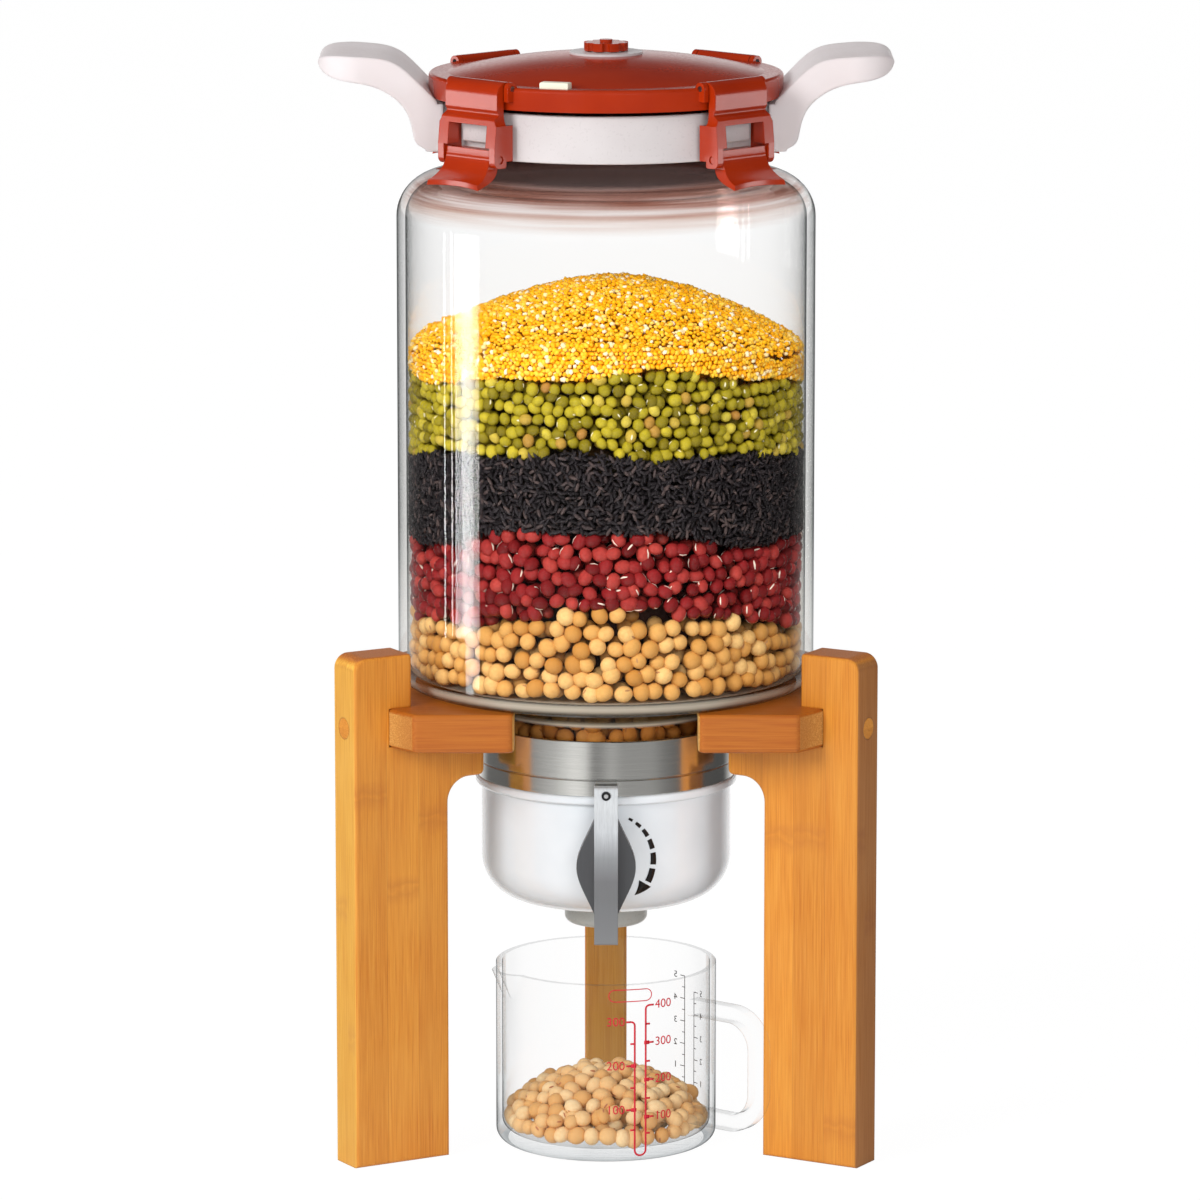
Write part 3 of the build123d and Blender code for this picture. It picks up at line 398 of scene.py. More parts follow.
def grain_finish(name, stops, roughness, eye=None, eye_size=(1.0, 1.0)):
    """Grain whose tone differs from one to the next, with a pale or dark eye on its side, and the deeper
    grains darkened by painted shade.
    """
    finish = Finish(name)
    local = finish.parts(finish.attribute("grain_point", "Vector"))
    colour = finish.ramp(finish.attribute("grain_tone", "Fac"), *stops)
    mottle = finish.noise(finish.point(), 700.0, 2.0)
    colour = finish.mix(finish.ramp(mottle, (0.35, 0.0), (0.8, 0.35)), colour, stops[0][1])
    if eye:
        long_way = finish.math("DIVIDE", local[0], eye_size[0])
        short_way = finish.math("DIVIDE", local[2], eye_size[1])
        spread = finish.math("ADD", finish.math("POWER", long_way, 2.0), finish.math("POWER", short_way, 2.0))
        near_side = finish.math("GREATER_THAN", local[1], 0.0)
        on_eye = finish.math("MULTIPLY", finish.math("LESS_THAN", spread, 1.0), near_side)
        colour = finish.mix(on_eye, colour, eye)
    # Deeper grains are darkened: painted shade between the grains.
    painted_shade = finish.attribute("grain_deep", "Fac")
    colour = finish.mix(painted_shade, colour, finish.mix(1.0, colour, rgb(96, 84, 72), "MULTIPLY"))
    finish.set(Base_Color=colour)
    finish.set(Roughness=finish.ramp(mottle, (0.3, roughness * 0.8), (0.7, roughness * 1.2)))
    finish.bump(mottle, MOTTLE_DEPTH, 0.3)
    return finish.material


def printed(name, dark, light):
    """Printing ink with a slightly uneven coat."""
    finish = Finish(name, Roughness=0.35)
    cloud = finish.noise(finish.point(), 900.0, 2.0)
    finish.set(Base_Color=finish.ramp(cloud, (0.3, dark), (0.7, light)))
    finish.bump(cloud, SKIN_DEPTH, 0.3)
    return finish.material


def dress(names, material):
    for name in names:
        mesh = nodes[name].data
        mesh.materials.clear()
        mesh.materials.append(material)


# Finishes of the CAD pieces
# Each leg's turn, and the painted light and shade of its narrow faces: the left leg's lit face painted
# lighter, the right and back legs' shaded faces painted darker.
LEG_TURNS_AND_SIDE_LIGHT = {
    "leg_left": (210, (1.24, 1.69, 2.18)),
    "leg_right": (330, (0.67, 0.70, 1.56)),
    "leg_back": (90, (0.78, 1.0, 1.7)),
}
for leg, (azimuth, painted_side_light) in LEG_TURNS_AND_SIDE_LIGHT.items():
    dress([leg], bamboo("bamboo_" + leg, (0, 0, radians(-azimuth)), painted_side_light=painted_side_light))
dress(["screw_plugs"], bamboo("bamboo_plug", (radians(90), 0, 0)))
# The seat's end faces are painted brighter: painted light on its ends, over the end-grain tone.
dress(["seat_ring"], bamboo("bamboo_seat", (0, radians(-90), 0), (0.66, 0.48, 0.33), (1.25, 2.2, 3.2)))

COAT_ROUGHNESS = 0.04
russet = moulded(
    "russet_plastic", rgb(158, 38, 4), rgb(172, 46, 6), 0.22, Coat_Weight=0.1, Coat_Roughness=COAT_ROUGHNESS
)
white = moulded("white_plastic", rgb(206, 199, 199), rgb(214, 208, 208), 0.3)
pale = moulded(
    "pale_plastic",
    rgb(218, 224, 229),
    rgb(228, 233, 237),
    0.14,
    Coat_Weight=0.5,
    Coat_Roughness=COAT_ROUGHNESS,
)
spout = moulded("spout_plastic", rgb(176, 179, 175), rgb(188, 190, 186), 0.3)
ivory = moulded("ivory_plastic", rgb(236, 230, 208), rgb(244, 240, 222), 0.35)
rubber = moulded("seal_rubber", rgb(205, 205, 202), rgb(220, 220, 216), 0.55)
dress(["lid_shell", "vent_knob"], russet)
dress([name for name in nodes if name.startswith(("latch_", "lever_"))], russet)
dress(["neck_ring"], white)
dress(["hopper", "front_bush"], pale)
dress(["outlet_funnel", "rotary_gate"], spout)
dress(["release_tab"], ivory)
dress(["lid_gasket", "neck_seal", "vent_seal"], rubber)
dress(["vent_base"], white)

steel = brushed("brushed_steel", rgb(214, 213, 208), rgb(238, 237, 232), 0.16, (60.0, 60.0, 3000.0))
dark_steel = brushed("screw_steel", rgb(120, 120, 122), rgb(170, 170, 172), 0.35, (900.0, 900.0, 900.0))
grey = brushed("knob_grey", rgb(132, 133, 136), rgb(146, 147, 150), 0.45, (1400.0, 400.0, 60.0))
dress(["steel_sleeve"], steel)
dress(["knob_lever"], graded("knob_silver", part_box("knob_lever")))
dress(["knob_plate"], grey)
dress(["pointer_pin"], ringed("pin_steel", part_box("pointer_pin")))
dress(["seat_screws", "latch_pins", "gate_shaft", "shaft_clip", "vent_clip"], dark_steel)

frosted = moulded(
    "frosted_plastic",
    rgb(238, 229, 229),
    rgb(244, 237, 238),
    0.38,
    soft_edge=HANDLE_EDGE_R,
    Transmission_Weight=0.25,
    IOR=1.2,
)
dress(["handle_left", "handle_right"], frosted)

# Tints of the jar by height, from the base to the mouth
JAR_TINTS = (
    (0.0, rgb(244, 226, 206)),
    (0.0704, rgb(244, 226, 206)),
    (0.074, rgb(165, 163, 155)),
    (0.1065, rgb(160, 157, 150)),
    (0.1173, rgb(170, 166, 158)),
    (0.1245, rgb(236, 232, 226)),
    (0.135, rgb(252, 251, 249)),
    (0.822, rgb(255, 255, 255)),
    (0.842, rgb(234, 216, 208)),
    (0.858, rgb(190, 140, 122)),
    (0.876, rgb(170, 124, 108)),
    (0.886, rgb(142, 130, 128)),
    (1.0, rgb(134, 122, 120)),
)
# Levels and strengths of the pale lines at the jar's base: the first a thin painted highlight on the lower
# edge of the dark band, the second a pale band in the thick glass of its floor
JAR_PALE_LINES = (
    (0.1816, 0.0),
    (0.1822, 0.5),
    (0.1830, 0.5),
    (0.1837, 0.0),
    (0.1938, 0.0),
    (0.1955, 0.5),
    (0.1972, 0.6),
    (0.1986, 0.0),
)
CUP_TINTS = ((0.0, rgb(196, 200, 202)), (0.04, rgb(236, 238, 239)), (0.1, 1.0), (1.0, 1.0))
JAR_EDGE = rgb(190, 193, 194)
CUP_EDGE = rgb(136, 138, 140)
SHOULDER_STREAKS = 0.8
jar_glass = clear_glass(
    "jar_glass", jar_low.z, jar_high.z, JAR_TINTS, JAR_EDGE, SHOULDER_STREAKS, JAR_PALE_LINES
)
dress(["glass_jar"], jar_glass)
dress(["measuring_cup"], clear_glass("cup_glass", 0.0, CUP_H, CUP_TINTS, CUP_EDGE))


def ball(segments, rings):
    """Points and triangles of a unit ball."""
    around = np.arange(segments) * 2 * pi / segments
    down = np.arange(1, rings) * pi / rings
    points = [(0.0, 0.0, 1.0)]
    points += [(sin(d) * cos(a), sin(d) * sin(a), cos(d)) for d in down for a in around]
    points.append((0.0, 0.0, -1.0))
    last = len(points) - 1
    triangles = []
    for step in range(segments):
        after = (step + 1) % segments
        triangles.append((0, 1 + step, 1 + after))
        for ring in range(rings - 2):
            upper = 1 + ring * segments
            lower = upper + segments
            triangles.append((upper + step, lower + step, lower + after))
            triangles.append((upper + step, lower + after, upper + after))
        base = 1 + (rings - 2) * segments
        triangles.append((base + step, last, base + after))
    return np.array(points), np.array(triangles)


def mesh_object(name, points, triangles, material, smooth=True, **attributes):
    """An object from arrays of points and triangles, with values stored at its points."""
    mesh = bpy.data.meshes.new(name)
    mesh.vertices.add(len(points))
    mesh.vertices.foreach_set("co", np.asarray(points, np.float32).ravel())
    mesh.loops.add(len(triangles) * 3)
    mesh.loops.foreach_set("vertex_index", np.asarray(triangles, np.int32).ravel())
    mesh.polygons.add(len(triangles))
    mesh.polygons.foreach_set("loop_start", np.arange(0, len(triangles) * 3, 3, dtype=np.int32))
    mesh.update(calc_edges=True)
    if smooth:
        mesh.shade_smooth()
    for key, values in attributes.items():
        flat = np.asarray(values, np.float32)
        kind, field = ("FLOAT_VECTOR", "vector") if flat.ndim == 2 else ("FLOAT", "value")
        mesh.attributes.new(key, kind, "POINT").data.foreach_set(field, flat.ravel())
    mesh.materials.append(material)
    made = bpy.data.objects.new(name, mesh)
    bpy.context.scene.collection.objects.link(made)
    return made


def unit(vectors):
    return vectors / np.linalg.norm(vectors, axis=-1, keepdims=True)


def outward(angles):
    """Level directions at angles from the front to the right."""
    return np.stack([np.sin(angles), -np.cos(angles), np.zeros_like(angles)], axis=1)


def lying_turns(rng, normals, lean):
    """Turns that lay each grain flat on a surface, with a lean of its own."""
    short = unit(normals + rng.normal(0.0, lean, normals.shape))
    along = rng.normal(size=normals.shape)
    along = unit(along - short * (along * short).sum(1, keepdims=True))
    return np.stack([along, np.cross(short, along), short], axis=2)


class Pile:
    """Grains of one kind, gathered into one mesh."""

    def __init__(self, seed, half_sizes, spread, segments, rings):
        self.rng = np.random.default_rng(seed)
        self.half_sizes = np.array(half_sizes)
        self.spread = spread
        self.points, self.triangles = ball(segments, rings)
        self.batches = []

    def add(self, centres, normals, lean, deep=0.0, reach=None):
        """Grains at centres, or with reach given, pushed out along the normals to that radius."""
        count = len(centres)
        turns = lying_turns(self.rng, normals, lean)
        sizes = self.half_sizes * self.rng.uniform(1 - self.spread, 1 + self.spread, (count, 1))
        sizes = sizes * self.rng.uniform(0.94, 1.06, (count, 3))
        if reach is not None:
            depth = np.sqrt((np.einsum("nij,ni->nj", turns, normals) * sizes) ** 2 @ np.ones(3))
            centres = centres + normals * (reach - depth)[:, None]
        shaped = np.einsum("nij,vj->nvi", turns * sizes[:, None, :], self.points)
        self.batches.append((centres[:, None, :] + shaped, self.rng.uniform(0, 1, count), deep))

    def build(self, name, material, smooth=True):
        per_grain = len(self.points)
        shapes = np.concatenate([batch[0] for batch in self.batches])
        tones = np.concatenate([batch[1] for batch in self.batches])
        shade_shares = np.concatenate([np.full(len(batch[1]), batch[2]) for batch in self.batches])
        count = len(shapes)
        offsets = (np.arange(count) * per_grain)[:, None, None]
        return mesh_object(
            name,
            shapes.reshape(-1, 3),
            (self.triangles[None] + offsets).reshape(-1, 3),
            material,
            smooth,
            grain_tone=np.repeat(tones, per_grain),
            grain_deep=np.repeat(shade_shares, per_grain),
            grain_point=np.tile(self.points, (count, 1)),
        )


# Nets of grain: step between rows as a share of the spacing, and how far places are shaken
NET_ROW_SHARE = 0.87
WALL_SHAKE_SHARE = 0.22
HEAP_SHAKE_SHARE = 0.25
SHELL_SPREAD_SHARE = 0.35


def layer_top(kind, angles):
    """Level of the top of a layer at angles from the front."""
    phase = 1.0 + list(LAYER_TOPS).index(kind) * 1.7
    wave = np.sin(3 * angles + phase) + 0.8 * np.sin(7 * angles + 2 * phase)
    return LAYER_TOPS[kind] + LAYER_RISE * np.cos(angles) ** 2 + LAYER_WAVE * wave


def wrapped_net(rng, spacing, radius, low, high):
    """Angles and levels of a shaken net wrapped round the jar axis between two levels."""
    columns = int(2 * pi * radius / spacing)
    rows = int((high - low) / (spacing * NET_ROW_SHARE))
    row, column = np.meshgrid(np.arange(rows), np.arange(columns), indexing="ij")
    angles = (column + 0.5 * (row % 2)).ravel() * 2 * pi / columns
    levels = low + row.ravel() * spacing * NET_ROW_SHARE
    angles = angles + rng.uniform(-WALL_SHAKE_SHARE, WALL_SHAKE_SHARE, len(angles)) * spacing / radius
    levels = levels + rng.uniform(-WALL_SHAKE_SHARE, WALL_SHAKE_SHARE, len(levels)) * spacing
    return angles, levels


def add_shell(pile, angles, levels, reach, depth, lean, deep):
    """Grains that press outwards to about a radius from the jar axis."""
    axis_points = np.stack([0 * angles, np.full_like(angles, AXIS_Y), levels], axis=1)
    reaches = reach - pile.rng.uniform(0.0, SHELL_SPREAD_SHARE, len(angles)) * depth
    pile.add(axis_points, outward(angles), lean, deep, reaches)


def fill_layer(pile, below, kind, spacing, lean, shells, depth, shade=0.5):
    """Shells of grain from the glass inwards, the deeper ones darkened with painted shade."""
    for step in range(shells):
        reach = WALL_R - step * depth
        lowest = JAR_FLOOR_Z + pile.half_sizes[1]
        angles, levels = wrapped_net(pile.rng, spacing, reach, lowest, HEAP_TOP)
        levels = np.maximum(levels, lowest)
        inside = levels < layer_top(kind, angles) - pile.half_sizes[2] / 2
        if below:
            inside &= levels > layer_top(below, angles)
        add_shell(pile, angles[inside], levels[inside], reach, depth, lean, min(1.0, step * shade))


def plan_net(rng, spacing, radius):
    """Places of a shaken net in plan inside a circle."""
    rows = int(2 * radius / spacing) + 1
    columns = int(2 * radius / (spacing * NET_ROW_SHARE)) + 1
    row, column = np.meshgrid(np.arange(rows), np.arange(columns), indexing="ij")
    across = (row + 0.5 * (column % 2)).ravel() * spacing - radius
    along = column.ravel() * spacing * NET_ROW_SHARE - radius
    across = across + rng.uniform(-HEAP_SHAKE_SHARE, HEAP_SHAKE_SHARE, len(across)) * spacing
    along = along + rng.uniform(-HEAP_SHAKE_SHARE, HEAP_SHAKE_SHARE, len(along)) * spacing
    kept = np.hypot(across, along) < radius
    return across[kept], along[kept]


def heap_top(across, along):
    """Level of the corn heap at a place in plan."""
    share = np.clip(np.hypot(across, along) / WALL_R, 0.0, 1.0)
    angles = np.arctan2(across, -along)
    edge = LAYER_TOPS["corn"] + LAYER_RISE * 0.5 * np.cos(angles) ** 2 * share
    shifted = np.clip(np.hypot(across - HEAP_SHIFT_X * (1 - share), along) / WALL_R, 0.0, 1.0)
    return edge + (HEAP_TOP - LAYER_TOPS["corn"]) * (1 - shifted**HEAP_POWER)


# Soy beans at the bottom of the jar and in its lower neck
soy_stops = ((0.0, rgb(190, 130, 58)), (0.5, rgb(216, 162, 90)), (1.0, rgb(234, 192, 126)))
soy_finish = grain_finish("soy_bean", soy_stops, 0.45, rgb(178, 128, 84), (0.3, 0.12))
SOY_STEP = 0.0074
SOY_DEPTH = 0.0058
SOY_LEAN = 0.6
FOOT_SHELLS = 2
soy = Pile(11, half_sizes=(0.0039, 0.0036, 0.0034), spread=0.1, segments=14, rings=9)
fill_layer(soy, None, "soy", spacing=SOY_STEP, lean=SOY_LEAN, shells=3, depth=SOY_DEPTH)
for step in range(FOOT_SHELLS):
    foot_reach = FOOT_BORE_R - GRAIN_GAP - step * SOY_DEPTH
    foot_angles, foot_levels = wrapped_net(soy.rng, SOY_STEP, foot_reach, FOOT_GRAIN_LOW, FOOT_GRAIN_HIGH)
    # Deeper foot shells get more painted shade.
    add_shell(soy, foot_angles, foot_levels, foot_reach, SOY_DEPTH, SOY_LEAN, step / FOOT_SHELLS)
contents_soy = soy.build("contents_soy", soy_finish)

# Adzuki beans
adzuki_stops = ((0.0, rgb(94, 16, 18)), (0.55, rgb(142, 34, 36)), (1.0, rgb(182, 66, 58)))
adzuki_finish = grain_finish("adzuki_bean", adzuki_stops, 0.22, rgb(240, 222, 206), (0.5, 0.12))
adzuki = Pile(12, half_sizes=(0.0036, 0.0029, 0.0028), spread=0.12, segments=12, rings=8)
fill_layer(adzuki, "soy", "adzuki", spacing=0.0062, lean=0.5, shells=3, depth=0.0045)
contents_adzuki = adzuki.build("contents_adzuki", adzuki_finish)

# Black rice
rice_stops = ((0.0, rgb(24, 20, 22)), (0.7, rgb(46, 41, 44)), (1.0, rgb(84, 70, 68)))
rice_finish = grain_finish("black_rice", rice_stops, 0.3)
rice = Pile(13, half_sizes=(0.0024, 0.0008, 0.00075), spread=0.14, segments=6, rings=4)
fill_layer(rice, "adzuki", "rice", spacing=0.0023, lean=0.35, shells=2, depth=0.0013)
contents_rice = rice.build("contents_rice", rice_finish)

# Mung beans
mung_stops = (
    (0.0, rgb(112, 98, 18)),
    (0.4, rgb(158, 142, 28)),
    (0.8, rgb(192, 172, 44)),
    (0.9, rgb(206, 186, 70)),
    (1.0, rgb(172, 120, 56)),
)
mung_finish = grain_finish("mung_bean", mung_stops, 0.3, rgb(236, 228, 196), (0.36, 0.15))
mung = Pile(14, half_sizes=(0.0029, 0.0024, 0.0023), spread=0.12, segments=12, rings=8)
fill_layer(mung, "rice", "mung", spacing=0.0052, lean=0.5, shells=3, depth=0.0037)
contents_mung = mung.build("contents_mung", mung_finish)

# Corn grits, heaped
corn_stops = (
    (0.0, rgb(250, 168, 10)),
    (0.5, rgb(255, 192, 26)),
    (0.85, rgb(255, 212, 84)),
    (0.93, rgb(255, 238, 190)),
    (1.0, rgb(255, 246, 222)),
)
corn_finish = grain_finish("corn_grit", corn_stops, 0.4)
HEAP_STEP = 0.0021
HEAP_INSET = 0.0014
HEAP_SINK = 0.0008
HEAP_LIFT = 0.0005
corn = Pile(15, half_sizes=(0.0015, 0.0011, 0.0009), spread=0.28, segments=5, rings=3)
fill_layer(corn, "mung", "corn", spacing=0.0020, lean=0.6, shells=2, depth=0.0012, shade=0.0)
heap_x, heap_y = plan_net(corn.rng, HEAP_STEP, WALL_R - HEAP_INSET)
heap_z = heap_top(heap_x, heap_y) + corn.rng.uniform(-HEAP_SINK, HEAP_LIFT, len(heap_x))
heap_places = np.stack([heap_x, heap_y + AXIS_Y, heap_z], axis=1)
corn.add(heap_places, np.tile((0.0, 0.0, 1.0), (len(heap_x), 1)), 0.7)
contents_corn = corn.build("contents_corn", corn_finish, smooth=False)


# The core, a dark body of painted shade behind the shells: how far it lies from the floor, the heap's edge
# and its peak, and its lumps
CORE_FLOOR_GAP = 0.001
CORE_EDGE_GAP = 0.002
CORE_PEAK_GAP = 0.004
CORE_LUMPS = 0.002
LUMP_DEPTH = 0.001
CORE_COLUMNS = 120
CORE_ROWS = 60


def painted_shade_core():
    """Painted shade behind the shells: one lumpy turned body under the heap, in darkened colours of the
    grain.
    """
    rng = np.random.default_rng(16)
    around, up = CORE_COLUMNS, CORE_ROWS
    angles = np.arange(around) * 2 * pi / around
    levels = np.linspace(JAR_FLOOR_Z + CORE_FLOOR_GAP, LAYER_TOPS["corn"] - CORE_EDGE_GAP, up)
    radii = WALL_R - CORE_DEPTH - rng.uniform(0.0, CORE_LUMPS, (up, around))
    rings = outward(angles)[None] * radii[:, :, None]
    rings[:, :, 2] = levels[:, None]
    rings[:, :, 1] += AXIS_Y
    top = heap_top(np.zeros(1), np.zeros(1))[0] - CORE_PEAK_GAP
    ends = [(0.0, AXIS_Y, levels[0]), (0.0, AXIS_Y, top)]
    points = np.concatenate([rings.reshape(-1, 3), ends])
    low_end, high_end = up * around, up * around + 1
    triangles = []
    for step in range(around):
        after = (step + 1) % around
        triangles.append((low_end, after, step))
        for ring in range(up - 1):
            lower, upper = ring * around, (ring + 1) * around
            triangles.append((lower + step, lower + after, upper + after))
            triangles.append((lower + step, upper + after, upper + step))
        base = (up - 1) * around
        triangles.append((base + step, base + after, high_end))
    finish = Finish("core_painted_shade", Roughness=0.7)
    lumps = finish.noise(finish.point(), 260.0, 2.0)
    height = finish.span(finish.parts(finish.coords.outputs["Object"])[2], JAR_FLOOR_Z, HEAP_TOP)
    # Darkened colours of the grain from the floor up, with darker lumps: painted shade of the grain inside.
    layers = finish.ramp(
        height,
        (0.0, rgb(88, 58, 28)),
        (0.17, rgb(60, 26, 18)),
        (0.36, rgb(20, 16, 16)),
        (0.6, rgb(46, 40, 14)),
        (0.82, rgb(214, 132, 8)),
    )
    finish.set(Base_Color=finish.mix(finish.ramp(lumps, (0.3, 0.0), (0.7, 0.5)), layers, rgb(24, 16, 10)))
    finish.bump(lumps, LUMP_DEPTH)
    return mesh_object("contents_core", points, triangles, finish.material)


contents_core = painted_shade_core()
grain = [contents_soy, contents_adzuki, contents_rice, contents_mung, contents_corn, contents_core]
for made in grain:
    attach(made, "jar")


# Soy beans in the cup: spacing, rows of the heap and the rings of beans along the wall
CUP_STEP = 0.0067
CUP_INSET = 0.0038
CUP_ROW = 0.0058
CUP_ROWS = 4
CUP_SHAKE = 0.0008
CUP_RING_LEVELS = (0.0092, 0.0152)
CUP_RING_SINK = 0.0006
CUP_RING_LIFT = 0.0014
CUP_RING_INSET = 0.006
CUP_RING_SHAKE_SHARE = 0.2
CUP_RING_GAP_SHARE = 0.55
CUP_SOY_STOPS = ((0.0, rgb(222, 166, 100)), (0.5, rgb(240, 196, 138)), (1.0, rgb(248, 220, 172)))


def cup_heap():
    """Soy beans heaped in the cup, in columns from its floor to the heap's surface."""
    pile = Pile(17, half_sizes=(0.0040, 0.0035, 0.0033), spread=0.1, segments=14, rings=9)
    across, along = plan_net(pile.rng, CUP_STEP, CUP_BORE_R - CUP_INSET)
    share = np.hypot(across, along) / CUP_BORE_R
    top = CUP_HEAP_EDGE + (CUP_HEAP_TOP - CUP_HEAP_EDGE) * (1 - share**CUP_HEAP_POWER)
    for step in range(CUP_ROWS):
        levels = top - pile.half_sizes[2] - step * CUP_ROW
        levels = levels + pile.rng.uniform(-CUP_SHAKE, CUP_SHAKE, len(levels))
        kept = levels > CUP_FLOOR_Z + pile.half_sizes[0]
        shift = 0.5 * CUP_STEP * (step % 2)
        places = np.stack([across * (1 - shift / CUP_BORE_R), along + CUP_Y, levels], axis=1)[kept]
        # Lower rows get more painted shade.
        pile.add(places, np.tile((0.0, 0.0, 1.0), (len(places), 1)), 0.8, deep=min(1.0, step * 0.3))
    columns = int(2 * pi * CUP_BORE_R / CUP_STEP)
    for step, level in enumerate(CUP_RING_LEVELS):
        angles = (np.arange(columns) + 0.5 * step) * 2 * pi / columns
        shake = pile.rng.uniform(-CUP_RING_SHAKE_SHARE, CUP_RING_SHAKE_SHARE, columns)
        angles = angles + shake * CUP_STEP / CUP_BORE_R
        levels = level + pile.rng.uniform(-CUP_RING_SINK, CUP_RING_LIFT, columns)
        axis_points = np.stack([0 * angles, np.full_like(angles, CUP_Y), levels], axis=1)
        kept = pile.rng.uniform(0, 1, columns) > CUP_RING_GAP_SHARE * step
        reach = np.full(columns, CUP_BORE_R) - CUP_RING_INSET * step
        pile.add(axis_points[kept], outward(angles)[kept], 0.6, reach=reach[kept])
    finish = grain_finish("cup_soy_bean", CUP_SOY_STOPS, 0.45, rgb(186, 120, 84), (0.3, 0.12))
    return pile.build("cup_soy", finish)


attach(cup_heap(), "cup")

# Printed marks
MARK_T = 0.0001
MARK_LIFT = 0.0001
MARK_STEP = 0.0008


class Marks:
    """Thin printed marks on the outside of an upright round piece.

    A place is a run along the surface from a starting azimuth, and a height. Azimuths go from the
    front to the right.
    """

    def __init__(self, carrier, centre_y, radius, azimuth=0.0):
        self.carrier = nodes[carrier]
        self.centre_y = centre_y
        self.radius = radius
        self.azimuth = azimuth
        self.points = []
        self.triangles = []

    def stick(self, run, height, lift):
        """A point at a lift above the surface."""
        angle = self.azimuth + run / self.radius
        out = Vector((sin(angle), -cos(angle), 0.0))
        start = Vector((0.0, self.centre_y, height)) + out * self.radius * 2
        _, place, normal, _ = self.carrier.ray_cast(start, -out)
        return place + normal * lift

    def ribbon(self, path, widths):
        """A closed flat band along a path of places, with its width at each of them."""
        path = np.array(path, float)
        ahead = np.gradient(path, axis=0)
        sides = unit(np.stack([-ahead[:, 1], ahead[:, 0]], axis=1)) * np.array(widths)[:, None] / 2
        first = len(self.points)
        for place, side in zip(path, sides):
            for lift in (MARK_LIFT, MARK_LIFT + MARK_T):
                self.points.append(self.stick(*(place + side), lift))
                self.points.append(self.stick(*(place - side), lift))
        corners = (0, 1, 3, 2)
        for step in range(len(path) - 1):
            near, far = first + step * 4, first + step * 4 + 4
            for one, two in zip(corners, corners[1:] + corners[:1]):
                self.triangles.append((near + one, near + two, far + two))
                self.triangles.append((near + one, far + two, far + one))
        last = first + (len(path) - 1) * 4
        for end, order in ((first, (0, 2, 3, 1)), (last, (0, 1, 3, 2))):
            self.triangles.append((end + order[0], end + order[1], end + order[2]))
            self.triangles.append((end + order[0], end + order[2], end + order[3]))

    def line(self, start, end, width):
        """A straight band between two places."""
        start, end = np.array(start), np.array(end)
        steps = max(2, int(np.linalg.norm(end - start) / MARK_STEP))
        shares = np.linspace(0.0, 1.0, steps + 1)[:, None]
        self.ribbon(start + (end - start) * shares, np.full(steps + 1, width))

    def arc(self, centre, radius, start, end, width, end_width=None):
        """A band along an arc; angles in degrees from the run's direction to the height's."""
        steps = max(4, int(abs(radians(end - start)) * radius / MARK_STEP))
        angles = np.radians(np.linspace(start, end, steps + 1))
        path = np.array(centre) + radius * np.stack([np.cos(angles), np.sin(angles)], axis=1)
        self.ribbon(path, np.linspace(width, width if end_width is None else end_width, steps + 1))

    def number(self, text, run, height, size):
        """A plain number centred at a place."""
        curve = bpy.data.curves.new("number", "FONT")
        curve.body = text
        curve.size = size
        curve.align_x = "CENTER"
        curve.align_y = "CENTER"
        curve.extrude = MARK_T / 2
        holder = bpy.data.objects.new("number", curve)
        bpy.context.scene.collection.objects.link(holder)
        flat = bpy.data.meshes.new_from_object(holder.evaluated_get(bpy.context.evaluated_depsgraph_get()))
        shape = bmesh.new()
        shape.from_mesh(flat)
        bmesh.ops.remove_doubles(shape, verts=shape.verts, dist=MARK_T / 20)
        bmesh.ops.triangulate(shape, faces=shape.faces)
        shape.verts.index_update()
        first = len(self.points)
        for vertex in shape.verts:
            x, y, z = vertex.co
            self.points.append(self.stick(run + x, height + y, MARK_LIFT + MARK_T / 2 + z))
        self.triangles += [[first + vertex.index for vertex in face.verts] for face in shape.faces]
        shape.free()
        bpy.data.objects.remove(holder)
        bpy.data.curves.remove(curve)
        bpy.data.meshes.remove(flat)

    def build(self, name, material):
        return mesh_object(name, self.points, self.triangles, material, smooth=False)


red_ink = printed("red_ink", rgb(206, 26, 48), rgb(226, 44, 66))
black_ink = printed("black_ink", rgb(22, 19, 19), rgb(40, 35, 35))

# Dashed arrow beside the knob, with dashes that grow towards its head
HOPPER_R = 0.052
KNOB_Z = 0.1263
ARROW_R = 0.0200
ARROW_START = 62.0
ARROW_GAP = 4.9
ARROW_DASHES = 6
DASH_TURN = 5.3
DASH_TURN_STEP = 2.25
DASH_W = 0.0009
DASH_W_STEP = 0.00034
DASH_FLARE = 0.00025
HEAD_SHIFT_X = -0.0008
HEAD_OVERLAP = 2.5
HEAD_TURN = 16.0
HEAD_W = 0.0062
HEAD_TIP_W = 0.0001


def turn_arrow():
    marks = Marks("hopper", AXIS_Y, HOPPER_R)
    angle = ARROW_START
    for dash in range(ARROW_DASHES):
        length = DASH_TURN + DASH_TURN_STEP * dash
        width = DASH_W + DASH_W_STEP * dash
        marks.arc((0.0, KNOB_Z), ARROW_R, angle, angle - length, width, width + DASH_FLARE)
        angle -= length + ARROW_GAP
    head_centre = (HEAD_SHIFT_X, KNOB_Z)
    marks.arc(head_centre, ARROW_R, angle + HEAD_OVERLAP, angle - HEAD_TURN, HEAD_W, HEAD_TIP_W)
    return marks.build("hopper_arrow", black_ink)


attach(turn_arrow(), "jar")

